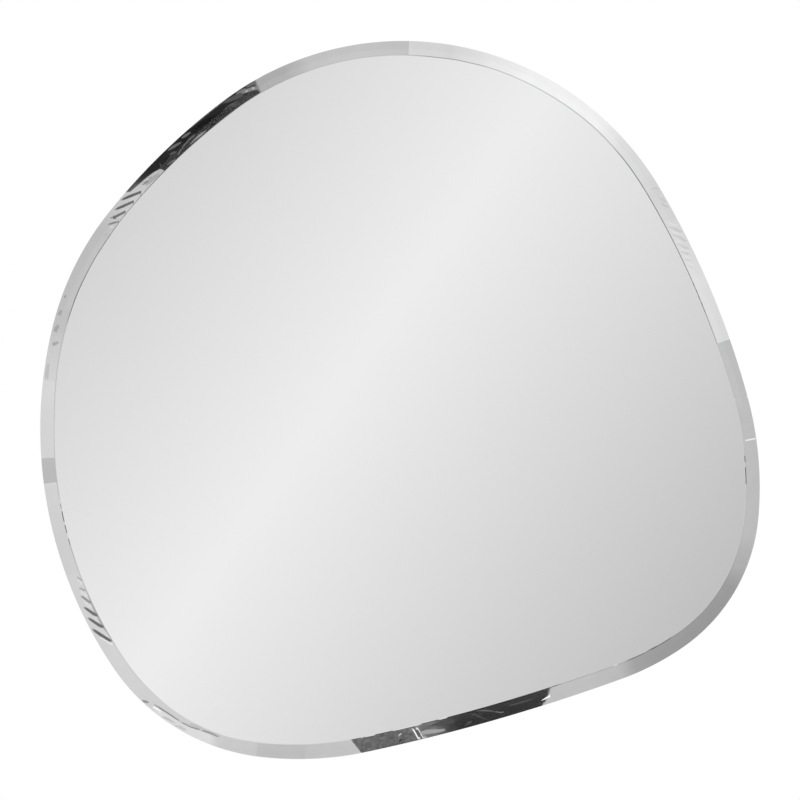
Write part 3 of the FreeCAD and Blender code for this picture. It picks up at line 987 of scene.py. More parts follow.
def cross_cutter(arm, width, depth):
    """A cross that tapers inwards, to cut a screw's recess. It stands out past the head."""
    outline = []
    for quarter in range(4):
        turn = Matrix.Rotation(math.radians(90 * quarter), 3, "Y")
        for across, along in ((width, width), (arm, width), (arm, -width)):
            outline.append(turn @ Vector((across, 0, along)))
    outline.sort(key=lambda p: math.atan2(p.z, p.x))
    flare = 1.06
    taper = (0.74, 0.8)
    proud = 0.5 * MM
    points = [Vector((p.x * flare, proud, p.z * flare)) for p in outline]
    points += [Vector((p.x * taper[0], -depth, p.z * taper[1])) for p in outline]
    count = len(outline)
    faces = [list(range(count)), list(range(count, 2 * count))]
    for number in range(count):
        after = (number + 1) % count
        faces.append((number, after, count + after, count + number))
    mesh = mesh_from("recess", points, faces)
    outwards(mesh)
    return mesh


def make_screws(settings):
    """Four pan head wood screws with a tapered cross recess."""
    head = settings.head_radius
    height = settings.head_height
    rounding = 1.2 * MM
    easing = 0.1 * MM
    shank = 1.4 * MM
    profile = [(0.0, -9.5 * MM), (0.5 * MM, -9.1 * MM), (shank, -7.7 * MM), (shank, 0.0)]
    profile += [(head - easing, 0.0), (head, easing)]
    profile += rounded_corner((head - rounding, height - rounding), rounding, 0.0, 80.0, 8)
    profile += [(shank, height - 0.02 * MM), (0.0, height)]
    sides = 64
    pattern = shown("screw", lathed("screw", profile, sides))
    arm, width, depth = 1.9 * MM, 0.45 * MM, 1.3 * MM
    cutter_mesh = cross_cutter(arm, width, depth)
    cutter_mesh.transform(Matrix.Translation((0, height, 0)))
    cutter = shown("recess", cutter_mesh)
    cutting = pattern.modifiers.new("recess", "BOOLEAN")
    cutting.operation = "DIFFERENCE"
    cutting.solver = "EXACT"
    cutting.object = cutter
    pattern = shown("screw", smoothed(plain_mesh(pattern), SHARP))
    bpy.data.objects.remove(cutter)
    places = [(x, SCREW_SEAT_Y, PIVOT_Z - drop) for x in HANGER_SIDES.values() for drop in SCREW_DROPS]
    mesh = copies(pattern, places, screw_steel(settings), math.tau / 4, settings.screw_seed)
    nodes = [f"{side}_hanger_{level}_screw" for side in HANGER_SIDES for level in ("upper", "lower")]
    fitted("hanger_screws", mesh, "mirror", nodes)


# ---- the studio ----------------------------------------------------------------------------------
# The bevel bends what it reflects by about fifteen degrees, so each way that the edge faces shows its
# own card, far off to the other side. A card is placed by the facing of the edge, in degrees, and the
# inset, in millimetres, where the camera sees it, and has the grey level that it shows there.
SHEEN = 0.01  # light that the pane's front face adds by itself
CLARITY = 0.86  # share of a card's light that comes back through the bevel
PANE_CLARITY = 0.918  # the same share for the flat of the pane
CARD_ROWS = 4  # faces across a card
CARD_LEAST_STEPS = 4  # faces along it, from one station to the next
CARD_STEP = 0.4  # degrees that a face spans at most
SIDE_FADE = 4  # how steeply a card's cover rises from its sides and its ends
END_FADE = 6
BEVEL_INSETS = (-4, 17)  # outer and inner edge of the cards that the bevel shows, in millimetres
SEAM_INSETS = (9, 15)
UNDERSIDE_INSETS = (12.0, 13.2)
DASH_NEARER = 0.5  # how much nearer the small cards hang than the large ones behind them, in metres
UNDERSIDE_NEARER = 0.6
PATCH_NEARER = 0.7
STREAK_NEARER = 1.0
STREAK_SPACING = 0.01

BEVEL_CARDS = {
    "right_wall": ((-11, 187), (19.2, 189)),
    "bright_screen": (
        (19.2, 216), (24, 220), (30, 208), (34, 214), (41, 219), (48, 239), (64, 239), (72, 228),
        (80.5, 210), (88.8, 211),
    ),
    "ceiling": ((88.8, 191), (100, 195), (109, 190), (114, 172), (121.7, 168)),
    "left_wall": (
        (121.7, 172), (135.2, 178), (138.5, 199), (141.5, 195), (145, 187), (163, 190), (166.2, 191),
        (169, 203), (173.5, 209),
    ),
    "left_screen": ((173.5, 214), (184, 210)),
    "post": ((184, 187), (187.4, 184)),
    "low_screen": ((187.4, 210), (195, 205), (219, 205), (234, 201), (262.3, 194)),
    "dark_step": ((262.3, 184), (271.2, 183)),
    "light_step": ((271.2, 188), (282.1, 190)),
    "corner": (
        (282.1, 187), (289, 186), (294, 155), (299, 149), (317, 145), (330, 149), (339, 173), (349, 187),
    ),
}
# Where the bevel meets the flat, a thin line of glass shows cards of its own through the flat.
SEAM_CARDS = {
    "right_seam": ((-11, 172), (-1, 184), (19.2, 184)),
    "upper_right_seam": ((19.2, 150), (27, 110), (38, 80), (43, 165), (66, 190)),
    "upper_seam": ((66, 190), (72, 176), (75, 150), (84, 134), (90, 190), (110, 178)),
    "upper_left_seam": (
        (110, 172), (120.7, 160), (135.5, 90), (139.5, 140), (146, 110), (153, 110), (158, 70), (162, 100),
        (165, 150),
    ),
    "left_seam": ((165, 172), (181, 188), (188, 176), (190, 190)),
    "lower_left_seam": ((196.5, 160), (200, 180), (204, 160), (210, 140), (212, 196), (223, 185)),
    "lower_seam": ((223, 190), (235, 204), (279.6, 192)),
    "lower_right_seam": ((288.2, 170), (294, 120), (308, 140), (330, 142), (349, 170)),
}


def linear(grey):
    """Linear light of a grey level out of 255."""
    part = grey / 255
    return part / 12.92 if part <= 0.04045 else ((part + 0.055) / 1.055) ** 2.4


def bend(ray, normal, ratio):
    """A ray as it leaves a surface, with the normal towards where it comes from."""
    cosine = -ray.dot(normal)
    return ray * ratio + normal * (ratio * cosine - math.sqrt(1 - ratio**2 * (1 - cosine**2)))


def bevel_normal(angle, pane):
    """Way that the middle of the bevel faces, with its stray in width allowed for."""
    radius = arc_at(ARCS, angle)[0][1]
    width = pane.bevel_width + stray(angle) * pane.bevel_stray
    growth = (stray(angle + 0.1) - stray(angle - 0.1)) * pane.bevel_stray / math.radians(0.2)
    outward = facing(angle)
    along = facing(angle + 90) * (radius - width / 2) - outward * (growth / 2)
    inward = outward * -width - INTO_WALL * (GLASS_THICKNESS - pane.nose_thickness)
    return along.cross(inward).normalized(), width


def reflected_place(angle, inset, pane, studio, distance, by_flat):
    """Where a card stands to be seen in the bevel at a facing and an inset."""
    normal, width = bevel_normal(angle, pane)
    nose = GLASS_REAR - pane.nose_thickness
    rise = GLASS_THICKNESS - pane.nose_thickness
    eye = Vector((0, nose - studio.eye_distance, 0))
    place = edge_point(ARCS, angle, inset) + INTO_WALL * (nose - rise * inset / width)
    ray = bend((place - eye).normalized(), normal, 1 / pane.glass_index)
    bevel_place = place.copy()
    place = place + ray * ((GLASS_REAR - place.y) / ray.y)
    ray.y = -ray.y
    if by_flat:
        normal = Vector((0, -1, 0))
        place = place + ray * ((GLASS_REAR - GLASS_THICKNESS - place.y) / ray.y)
    else:
        place = place + ray * ((bevel_place - place).dot(normal) / ray.dot(normal))
    ray = bend(ray, -normal, pane.glass_index)
    return place + ray * ((-distance - place.y) / ray.y)


def card_finish(name, kind):
    """Plain glow of a card. All but the steady kind fade at their edges, the soft kind the most."""
    finish, tree = new_finish(name)
    place = out(tree, "ShaderNodeUVMap", uv_map="card")
    if kind == "streaked":
        streaks = noise(tree, stretched(tree, place, (0.07, 0.22, 1), (0, 0, 0.35)), 1.0, 2.0, 0.5, 0.7)
        unevenness = spread(tree, streaks, 0.72, 1.35)
    elif kind == "mottled":
        unevenness = remap(tree, noise(tree, place, 0.3, 2.0, 0.6, 0.6), 0.35, 0.65, 0.6, 1.4)
    else:
        unevenness = spread(tree, noise(tree, place, 0.09, 2.0), 0.985, 1.015)
    shader = glow(tree, sums(tree, "MULTIPLY", attribute(tree, "tone", "Fac"), unevenness))
    if kind != "steady":
        fade = (0.9, 0.0, 1.0, "SMOOTHSTEP") if kind == "soft" else (0.2, 0.0, 1.0)
        cover = remap(tree, attribute(tree, "edge", "Fac"), 0.0, *fade)
        clear = out(tree, "ShaderNodeBsdfTransparent")
        shader = out(tree, "ShaderNodeMixShader", {0: cover, 1: clear, 2: shader})
    return glowing(finish, tree, shader)


def between(first, second, share):
    """A point part of the way from one to another."""
    return tuple(a + (b - a) * share for a, b in zip(first, second))


def card_mesh(name, outer, inner, tones, pane, studio, distance, by_flat=False):
    """A card between two lines of (facing, inset) points, with a tone at each pair of them."""
    rows = CARD_ROWS
    stations = []  # each an outer (facing, inset), an inner one and a tone, in one row
    stops = [(*outside, *inside, tone) for outside, inside, tone in zip(outer, inner, tones)]
    for first, second in zip(stops, stops[1:]):
        turn = max(abs(second[0] - first[0]), abs(second[2] - first[2]))
        count = max(CARD_LEAST_STEPS, math.ceil(turn / CARD_STEP))
        stations += [between(first, second, step / count) for step in range(count)]
    stations.append(stops[-1])
    last = len(stations) - 1
    points = []
    levels = []
    edges = []
    flat_places = []
    for number, station in enumerate(stations):
        end = min(number, last - number) / last
        for row in range(rows + 1):
            angle, inset = between(station[:2], station[2:4], row / rows)
            points.append(reflected_place(angle, inset * MM, pane, studio, distance, by_flat))
            levels.append(max(0.0, linear(station[4]) - SHEEN) / CLARITY)
            edges.append(min(1.0, SIDE_FADE * min(row, rows - row) / rows, END_FADE * end))
            flat_places.append((edge_length(angle) / MM, inset))
    faces = []
    for number in range(last):
        for row in range(rows):
            low = number * (rows + 1) + row
            faces.append((low, low + 1, low + rows + 2, low + rows + 1))
    mesh = mesh_from(name, points, faces)
    for label, values in (("tone", levels), ("edge", edges)):
        mesh.attributes.new(label, "FLOAT", "POINT").data.foreach_set("value", values)
    layer = mesh.uv_layers.new(name="card")
    for loop in mesh.loops:
        layer.data[loop.index].uv = flat_places[loop.vertex_index]
    return mesh


def hang_card(name, mesh, finish):
    """A card that only reflections see."""
    mesh.materials.append(finish)
    card = shown(name, mesh)
    card.visible_camera = False
    card.visible_diffuse = False
    card.visible_shadow = False
    card.visible_volume_scatter = False


def streak_lines(points):
    """The two sides of a streak along (facing, inset, width) points."""
    sides = ([], [])
    for number, (angle, inset, width) in enumerate(points):
        radius = arc_at(ARCS, angle)[0][1] / MM
        before = points[max(0, number - 1)]
        after = points[min(len(points) - 1, number + 1)]
        turn = math.radians(after[0] - before[0])
        along = Vector((turn * radius, after[1] - before[1])).normalized()
        for side, half in zip(sides, (-width / 2, width / 2)):
            aside = math.degrees(-along.y * half / radius)
            side.append((angle + aside, inset + along.x * half))
    return sides


# A patch is an area of the bevel: its outer line, its inner line and the tones along it.
# It is a glowing card that the bevel shows there as a painted reflection.
PATCHES = {
    "dark_doorway": (
        "streaked",
        (
            (119.45, -3), (122, -3), (126, -3), (130, -3), (134, -3), (135.1, -3), (135.6, -3),
            (136.2, -3), (137, -3), (138, -3), (138.9, -3), (139.2, -3),
        ),
        (
            (119.7, 16), (122.1, 16), (126, 16), (130, 16), (134, 16), (135.1, 16), (135.35, 8.6),
            (136, 6.4), (137, 4.9), (137.9, 3.9), (138.75, 3.1), (139.1, 0.5),
        ),
        (58, 48, 44, 32, 40, 38, 38, 38, 54, 84, 92, 120),
    ),
    "grey_shelf": (
        "mottled",
        ((281.35, -3), (282.2, -3), (283.2, -3), (283.9, -3)),
        ((279.2, 16), (281.0, 16), (282.6, 16), (283.6, 16)),
        (99, 95, 90, 102),
    ),
    "dark_opening": (
        "streaked",
        ((283.78, -3), (284.2, -3), (284.7, -3), (285, -3), (286, -3), (287, -3), (287.45, -3)),
        ((283.5, 16), (284.1, 16), (284.8, 16), (285.1, 16), (286, 16), (287.3, 16), (288.05, 16)),
        (104, 100, 40, 26, 24, 28, 40),
    ),
    "pale_floor": (
        "soft",
        ((228.0, -3.5), (233, -3.5), (240, -3.5), (247, -3.5), (251.5, -3.5)),
        ((229.0, 6.2), (234, 7.4), (240, 7.6), (246, 9.4), (251.3, 9.4)),
        (218, 214, 212, 216, 212),
    ),
}
# A streak is a tone and a line of (facing, inset, width) points, with the widths in millimetres.
# Each is a small glowing card that the bevel shows as a painted reflection, dark or light.
STREAKS = {
    "doorway": (
        (134, ((123.6, 3.1, 1.6), (122.3, 4.1, 3.8), (120.8, 5.3, 4.2), (119.7, 7.4, 3.0))),
        (176, ((122.5, 3.8, 1.8), (121.9, 4.6, 1.8))),
        (182, ((121.1, 4.8, 2.0), (120.5, 5.6, 2.0))),
        (42, ((123.6, 5.8, 1.2), (121.8, 8.3, 3.0), (119.9, 10.8, 2.4))),
        (106, ((122.0, 1.2, 2.0), (120.6, 1.6, 3.4), (119.6, 2.0, 3.0))),
        (118, ((124.4, 1.4, 1.4), (123.2, 1.8, 3.0), (121.9, 2.4, 2.2))),
        (84, ((127.4, 1.2, 1.6), (126.0, 2.4, 4.0), (124.4, 3.8, 5.0), (122.8, 5.8, 2.6))),
        (82, ((127.7, 6.3, 0.8), (126.4, 6.2, 1.8), (124.8, 7.4, 1.0))),
        (74, ((126.6, 7.4, 0.8), (125.6, 8.6, 1.6), (124.5, 10.2, 0.8))),
        (82, ((131.2, 0.7, 0.9), (128.5, 0.6, 1.2), (125.6, 0.6, 0.9))),
        (26, ((130.9, 2.6, 2.0), (129.2, 5.2, 5.4), (127.4, 9.4, 3.4))),
    ),
    "sliver": (
        (120, ((132.0, 10.7, 0.5), (131.3, 10.3, 2.2), (130.6, 10.2, 2.8), (129.7, 10.8, 0.8))),
        (146, ((131.1, 10.3, 0.8), (130.6, 10.3, 1.5), (130.2, 10.6, 0.6))),
    ),
    "leaf": (
        (94, ((133.0, 9.4, 0.8), (132.2, 7.7, 1.3), (131.4, 7.1, 1.3), (130.8, 7.6, 0.6))),
        (88, ((132.4, 8.6, 0.6), (131.6, 6.5, 1.2), (130.8, 6.4, 0.7))),
        (104, ((132.1, 1.7, 1.6), (131.6, 2.4, 3.0), (131.0, 3.2, 1.4))),
        (104, ((133.8, 1.4, 1.2), (133.1, 2.5, 3.2), (132.2, 4.4, 1.4))),
        (86, ((133.9, 5.2, 1.2), (133.6, 5.9, 2.8), (133.2, 6.8, 1.4))),
        (104, ((133.4, 10.7, 0.8), (132.8, 8.5, 1.6))),
        (98, ((134.7, 10.0, 0.8), (134.2, 10.7, 1.8), (133.7, 11.6, 1.0))),
        (88, ((135.0, 4.2, 0.6), (135.2, 7.3, 1.0))),
    ),
    "wedge": (
        (104, ((138.8, 2.2, 0.8), (137.0, 4.7, 1.2))),
        (164, ((135.6, 10.8, 2.4), (136.5, 9.4, 4.6), (137.5, 8.4, 3.0))),
    ),
    # Dimmer streaks across the wedge: a painted reflection in the bevel, not a mark on the glass.
    "smudge": (
        (134, ((137.6, 6.5, 1.2), (137.1, 7.4, 2.4), (136.8, 8.4, 1.0))),
        (152, ((136.8, 7.0, 1.0), (136.4, 7.8, 1.4))),
    ),
    "stripe": (
        (96, ((140.0, 0.8, 2.0), (139.1, 5.0, 3.0), (138.1, 9.8, 3.0), (138.5, 12.0, 1.4))),
        (100, ((141.0, 2.0, 2.0), (140.2, 6.0, 3.0), (139.2, 10.4, 2.8), (139.6, 12.2, 1.4))),
        (110, ((142.1, 3.0, 1.8), (141.3, 7.0, 2.8), (140.4, 10.6, 2.6), (140.8, 12.2, 1.2))),
        (128, ((143.5, 5.4, 1.6), (142.4, 8.6, 2.2), (141.6, 11.0, 2.4), (142.0, 12.2, 1.2))),
        (176, ((145.6, 8.4, 1.4), (144.8, 10.2, 2.0))),
        (214, ((143.6, 8.4, 1.0), (143.0, 10.8, 1.8))),
    ),
    "slat": (
        (168, ((203.2, 11.4, 1.2), (206.0, 10.8, 2.4), (209.6, 10.8, 2.0))),
        (172, ((200.7, 8.0, 1.6), (201.6, 11.3, 1.8))),
        (164, ((202.2, 6.2, 1.8), (203.1, 11.1, 2.0))),
        (142, ((203.3, 5.0, 2.0), (205.0, 11.0, 2.6))),
        (104, ((204.8, 3.2, 2.2), (206.4, 8.8, 3.4), (206.9, 11.2, 2.6))),
        (100, ((206.3, 2.2, 2.4), (208.2, 8.8, 3.4), (208.7, 11.2, 2.6))),
        (94, ((207.9, 1.2, 2.6), (210.2, 8.2, 3.8), (211.0, 11.4, 2.4))),
    ),
    "pale_slat": (
        (222, ((200.9, 7.0, 1.0), (202.2, 10.9, 1.2))),
        (224, ((202.6, 5.8, 1.2), (204.0, 10.7, 1.4))),
        (220, ((204.2, 5.0, 1.4), (205.6, 9.7, 1.6))),
        (222, ((209.4, 3.6, 1.8), (211.6, 10.9, 2.2))),
    ),
    "floor": (
        (132, ((229.0, 5.1, 0.8), (231.5, 5.9, 1.6), (234.2, 6.5, 1.5), (238.9, 6.4, 1.3))),
        (134, ((238.5, 6.4, 1.3), (242.1, 6.9, 1.3), (245.1, 8.6, 1.8))),
        (134, ((244.8, 8.5, 1.6), (248.1, 9.2, 1.6), (251.0, 8.6, 1.2))),
        (238, ((229.4, 2.6, 1.6), (230.8, 3.8, 2.6), (232.6, 4.2, 1.2))),
        (186, ((233.2, 1.2, 1.4), (235.2, 2.4, 2.2), (237.8, 2.6, 1.2))),
        (190, ((237.4, 1.0, 1.0), (239.4, 2.4, 2.4), (241.6, 2.4, 1.0))),
        (184, ((241.0, 8.6, 1.6), (243.4, 9.6, 3.0), (246.4, 11.4, 2.0))),
        (180, ((246.0, 10.6, 2.0), (249.0, 11.0, 2.6), (251.4, 10.4, 1.6))),
        (136, ((226.1, 0.8, 1.2), (227.2, 2.2, 2.8), (228.1, 3.6, 1.2))),
    ),
    "right_tick": (
        (236, ((8.2, -0.8, 1.6), (8.1, 10.8, 1.6))),
    ),
    "shelf": (
        (210, ((283.02, 6.4, 0.8), (283.13, 9.4, 0.8))),
        (44, ((282.97, 1.8, 1.4), (283.12, 4.2, 2.2))),
    ),
    "post": (
        (242, ((283.62, -0.6, 1.7), (283.475, 11.8, 1.7))),
        (236, ((283.8, -0.2, 1.4), (283.58, 11.8, 1.5))),
    ),
    "opening": (
        (156, ((283.66, 5.6, 2.0), (283.86, 5.2, 5.0), (284.1, 4.2, 4.6), (284.5, 2.6, 2.0))),
        (62, ((284.05, 9.8, 1.2), (284.4, 8.9, 4.2), (284.8, 7.7, 3.0))),
        (94, ((285.48, 11.8, 0.8), (285.77, 10.2, 1.6), (286.05, 6.8, 0.9))),
        (116, ((286.0, 6.9, 0.9), (286.3, 4.0, 1.2))),
        (62, ((285.34, 11.4, 0.8), (285.5, 7.0, 2.0), (285.78, 1.6, 0.9))),
        (62, ((286.4, 8.4, 1.0), (286.9, 8.0, 2.2), (287.3, 8.2, 1.0))),
        (78, ((285.03, 2.2, 1.2), (285.26, 4.4, 1.8))),
        (22, ((287.48, 6.8, 1.2), (287.55, 4.6, 2.2), (287.62, 2.4, 1.2))),
        (248, ((287.48, 4.2, 0.3), (287.64, 5.2, 1.6), (287.8, 6.5, 3.0))),
    ),
    "left_blotch": (
        (146, ((159.6, 2.4, 1.4), (160.2, 2.9, 1.8))),
        (164, ((162.6, 3.6, 2.6), (163.9, 2.6, 3.8))),
        (164, ((165.6, 4.2, 3.0), (166.9, 2.8, 4.0))),
        (168, ((168.0, 8.4, 2.6), (168.6, 2.6, 4.2))),
        (190, ((171.0, 2.6, 3.0), (173.4, 2.6, 4.0))),
    ),
    "right_slat": (
        (200, ((27.9, 9.7, 1.6), (27.5, 5.4, 2.6), (27.1, 1.4, 2.0))),
        (201, ((27.3, 9.7, 1.6), (26.9, 5.4, 2.6), (26.4, 1.4, 2.0))),
        (203, ((26.6, 9.6, 1.6), (26.2, 6.0, 2.4), (25.9, 2.4, 1.8))),
        (201, ((26.0, 9.9, 1.6), (25.55, 4.4, 2.0))),
        (202, ((25.42, 9.8, 1.5), (25.12, 5.6, 1.8))),
        (204, ((24.95, 9.5, 1.3), (24.6, 6.8, 1.5))),
    ),
    "right_gleam": (
        (226, ((28.3, 9.6, 0.8), (27.9, 5.4, 1.2), (27.6, 1.4, 0.9))),
        (224, ((27.6, 9.6, 0.8), (27.2, 5.4, 1.2), (26.8, 1.6, 0.9))),
        (222, ((26.95, 9.6, 0.8), (26.5, 5.8, 1.1), (26.2, 2.6, 0.8))),
        (224, ((26.18, 9.4, 0.8), (25.95, 6.2, 1.1), (25.74, 3.6, 0.8))),
        (223, ((25.6, 8.9, 0.7), (25.45, 6.6, 1.1), (25.24, 4.6, 0.8))),
        (222, ((25.1, 9.0, 0.7), (24.78, 6.2, 1.0))),
    ),
    "right_wisp": (
        (198, ((31.0, 8.0, 1.0), (31.0, 3.4, 1.8), (30.4, 1.6, 1.0))),
        (198, ((29.9, 4.0, 1.0), (29.7, 2.8, 1.6), (29.42, 1.2, 1.0))),
        (196, ((29.55, 5.4, 1.0), (29.3, 4.0, 1.6), (29.02, 1.4, 1.0))),
        (232, ((30.1, 2.6, 0.9), (29.95, 1.8, 0.9))),
    ),
}
# Short dark cards that the seam where the bevel meets the flat shows as painted reflections, seen as gaps.
SEAM_DASHES = {
    "right_mark_1": ((23.45, 60), (23.7, 60)),
    "right_mark_2": ((22.95, 70), (23.2, 70)),
    "right_mark_3": ((22.5, 60), (22.75, 60)),
    "right_mark_4": ((21.95, 60), (22.2, 60)),
    "right_mark_5": ((21.5, 80), (21.8, 80)),
    "right_dash_1": ((4.4, 12), (5.5, 12)),
    "right_dash_2": ((0.6, 12), (3.5, 12)),
    "left_dash_1": ((190.4, 140), (191.2, 140)),
    "left_dash_2": ((191.5, 12), (193.0, 12)),
    "left_dash_3": ((193.4, 70), (194.6, 70)),
    "left_dash_4": ((195.4, 100), (196.4, 100)),
    "lower_dash_1": ((294.2, 60), (296.6, 60)),
    "lower_dash_2": ((298.3, 20), (303.6, 20)),
    "shelf_edge_1": ((279.6, 90), (282.0, 90)),
}
# On the nearly straight underside the seam's view doubles back on itself, so these are narrow.
UNDERSIDE_DASHES = {
    "shelf_edge_2": ((282.05, 214), (282.35, 214)),
    "shelf_edge_3": ((282.4, 12), (282.9, 12)),
    "shelf_edge_4": ((282.92, 214), (283.78, 214)),
    "opening_edge_1": ((283.8, 12), (284.34, 12)),
    "opening_edge_2": ((284.34, 226), (284.6, 226)),
    "opening_edge_3": ((284.6, 12), (286.82, 12)),
    "opening_edge_4": ((286.82, 46), (288.1, 46)),
}


def hang_cards(pane, studio):
    """All the cards that the bevel and its seam show."""
    kinds = ("steady", "soft", "streaked", "mottled")
    finishes = {kind: card_finish(f"{kind}_card", kind) for kind in kinds}
    far = studio.card_distance

    def hang(name, outer, inner, tones, nearer, kind, by_flat=False):
        """Hangs one card of a kind, so much nearer than the farthest."""
        mesh = card_mesh(name, outer, inner, tones, pane, studio, far - nearer, by_flat)
        hang_card(name, mesh, finishes[kind])

    for table, insets, nearer, by_flat in (
        (BEVEL_CARDS, BEVEL_INSETS, 0, False),
        (SEAM_CARDS, SEAM_INSETS, 0, True),
        (SEAM_DASHES, SEAM_INSETS, DASH_NEARER, True),
        (UNDERSIDE_DASHES, UNDERSIDE_INSETS, UNDERSIDE_NEARER, True),
    ):
        for name, stations in table.items():
            outer, inner = [[(angle, inset) for angle, _ in stations] for inset in insets]
            hang(name, outer, inner, [tone for _, tone in stations], nearer, "steady", by_flat)
    for name, (kind, outer, inner, tones) in PATCHES.items():
        hang(name, outer, inner, tones, PATCH_NEARER, kind)
    streaks = [(name, *streak) for name, group in STREAKS.items() for streak in group]
    for number, (name, tone, points) in enumerate(streaks):
        nearer = STREAK_NEARER + STREAK_SPACING * number
        hang(f"{name}_{number}", *streak_lines(points), [tone] * len(points), nearer, "soft")


# The flat of the pane shows one large card, brightest along a slanting ridge.
RIDGE_WAY = Vector((0.8215, 0, -0.5703))
RIDGE_OFFSET = -47.4 * MM
RIDGE_LEVEL = 0.831
FALL_LEFT = (203.0 * MM, 0.672)  # how far off to each side the level has fallen to what
FALL_RIGHT = (305.0 * MM, 0.565)
RIDGE_ROUNDING = 0.03
GREAT_CARD_RADIUS = 2.9
DISC_SIDES = 96


def hang_great_card(studio):
    """The large card that the flat of the pane shows."""
    growth = 1 + studio.card_distance / studio.eye_distance
    finish, tree, place = placed_finish("great_card")
    along = add(tree, "ShaderNodeVectorMath", {0: place, 1: RIDGE_WAY}, operation="DOT_PRODUCT")
    away = sums(tree, "SUBTRACT", along.outputs["Value"], RIDGE_OFFSET * growth)
    peak, left_level, right_level = [
        level / PANE_CLARITY for level in (RIDGE_LEVEL, FALL_LEFT[1], FALL_RIGHT[1])
    ]
    left = remap(tree, away, -FALL_LEFT[0] * growth, 0.0, left_level, peak, clamp=False)
    right = remap(tree, away, 0.0, FALL_RIGHT[0] * growth, peak, right_level, clamp=False)
    glowing(finish, tree, glow(tree, sums(tree, "SMOOTH_MIN", left, right, RIDGE_ROUNDING)))
    away = INTO_WALL * studio.card_distance
    points = [facing(360 * side / DISC_SIDES) * GREAT_CARD_RADIUS - away for side in range(DISC_SIDES)]
    hang_card("great_card", mesh_from("great_card", points, [range(DISC_SIDES)]), finish)


# Light of the room that all but the camera sees, near the floor, overhead and at the floor's rim.
ROOM_LOW = 0.68
ROOM_HIGH = 0.98
ROOM_AT_RIM = 0.71
STRAIGHT_AHEAD = (0.72, 0.84)  # how far forward a direction points, where each dimming sets in
WIDE_OF_IT = (0.4, 0.55)
FRONT_FACE_BOUNCES = (2.5, 3.5)  # bounces after which light has been inside the glass
IN_GLASS_BOUNCES = (4.5, 5.5)  # bounces after which it has gone back and forth there
FLOOR_FADE = (0.45, 0.97)  # shares of its radius where the floor starts and ends to fade
FLOOR_PLACE = Vector((0, 0, -0.45))


def lay_floor(studio):
    """A plain pale floor that keeps the object's shadow and fades into the room at its rim."""
    finish, tree, place = placed_finish("pale_floor")
    distance = add(tree, "ShaderNodeVectorMath", {0: place}, operation="LENGTH").outputs["Value"]
    start, end = [share * studio.floor_radius for share in FLOOR_FADE]
    fade = remap(tree, distance, start, end, 0.0, 1.0, "SMOOTHSTEP")
    grain = noise(tree, place, 30.0, 3.0)
    tone = tinted(tree, grain, shade(studio.floor_colour, 0.99), shade(studio.floor_colour, 1.01))
    matt = out(tree, "ShaderNodeBsdfDiffuse", {"Color": tone})
    path = add(tree, "ShaderNodeLightPath").outputs
    level = remap(tree, path["Is Camera Ray"], 0.0, 1.0, ROOM_AT_RIM, 1.0)
    sharp = sums(tree, "MAXIMUM", path["Is Glossy Ray"], path["Is Transmission Ray"])
    seen = sums(tree, "MULTIPLY", fade, sums(tree, "MAXIMUM", path["Is Camera Ray"], sharp))
    mixed = out(tree, "ShaderNodeMixShader", {0: seen, 1: matt, 2: glow(tree, level)})
    glowing(finish, tree, mixed)
    points = []
    for side in range(DISC_SIDES):
        way = facing(360 * side / DISC_SIDES)
        points.append(Vector((way.x, way.z, 0)) * studio.floor_radius + FLOOR_PLACE)
    mesh = mesh_from("floor", points, [range(DISC_SIDES)])
    mesh.materials.append(finish)
    shown("floor", mesh)


def light_world():
    """White to the camera. To all else a soft grey room, paler above and to the left.

    Straight ahead it is dim to what the front of the glass mirrors by itself, and wide of that to
    light that has gone back and forth in the glass, so the bevel keeps its dark reflections.
    """
    world = bpy.data.worlds.new("studio")
    bpy.context.scene.world = world
    world.use_nodes = True
    tree = world.node_tree
    tree.nodes.clear()
    way = add(tree, "ShaderNodeTexCoord").outputs["Generated"]
    parts = add(tree, "ShaderNodeSeparateXYZ", {0: way})
    path = add(tree, "ShaderNodeLightPath").outputs
    ahead = sums(tree, "MULTIPLY", parts.outputs["Y"], -1.0)
    height = remap(tree, parts.outputs["Z"], -0.6, 0.9, ROOM_LOW, ROOM_HIGH, "SMOOTHSTEP")
    side = remap(tree, parts.outputs["X"], -1.0, 1.0, 1.03, 0.97)
    room = sums(tree, "MULTIPLY", height, side)
    straight = remap(tree, ahead, *STRAIGHT_AHEAD, 0.0, 0.7, "SMOOTHSTEP")
    wide = remap(tree, ahead, *WIDE_OF_IT, 0.0, 0.8)
    bounces = path["Ray Depth"]
    early = sums(tree, "MULTIPLY", straight, remap(tree, bounces, *FRONT_FACE_BOUNCES, 1.0, 0.0))
    late = sums(tree, "MULTIPLY", wide, remap(tree, bounces, *IN_GLASS_BOUNCES, 0.0, 1.0))
    dimmed = sums(tree, "SUBTRACT", 1.0, sums(tree, "ADD", early, late))
    room = sums(tree, "MULTIPLY", room, dimmed)
    room_colour = out(tree, "ShaderNodeCombineColor", {0: room, 1: room, 2: room})
    seen = tinted(tree, path["Is Camera Ray"], room_colour, WHITE)
    background = out(tree, "ShaderNodeBackground", {"Color": seen, "Strength": 1.0})
    add(tree, "ShaderNodeOutputWorld", {"Surface": background})


SENSOR_WIDTH = 36.0
FARTHEST_SEEN = 100.0
# Each lamp has a name, a place, a size and a share of the lamp power.
LAMPS = (
    ("rear_key", (-1.5, 1.9, 1.6), 1.1, 1.0),
    ("rear_fill", (1.9, 1.5, 0.5), 1.4, 0.4),
    ("overhead", (0.3, -0.5, 2.6), 1.2, 0.6),
)


def hang_lamp(name, place, size, power):
    """A square soft lamp turned to the pane."""
    lamp = bpy.data.lights.new(name, "AREA")
    lamp.shape = "SQUARE"
    lamp.size = size
    lamp.energy = power
    holder = shown(name, lamp)
    holder.location = place
    holder.rotation_euler = (-Vector(place)).to_track_quat("-Z", "Y").to_euler()


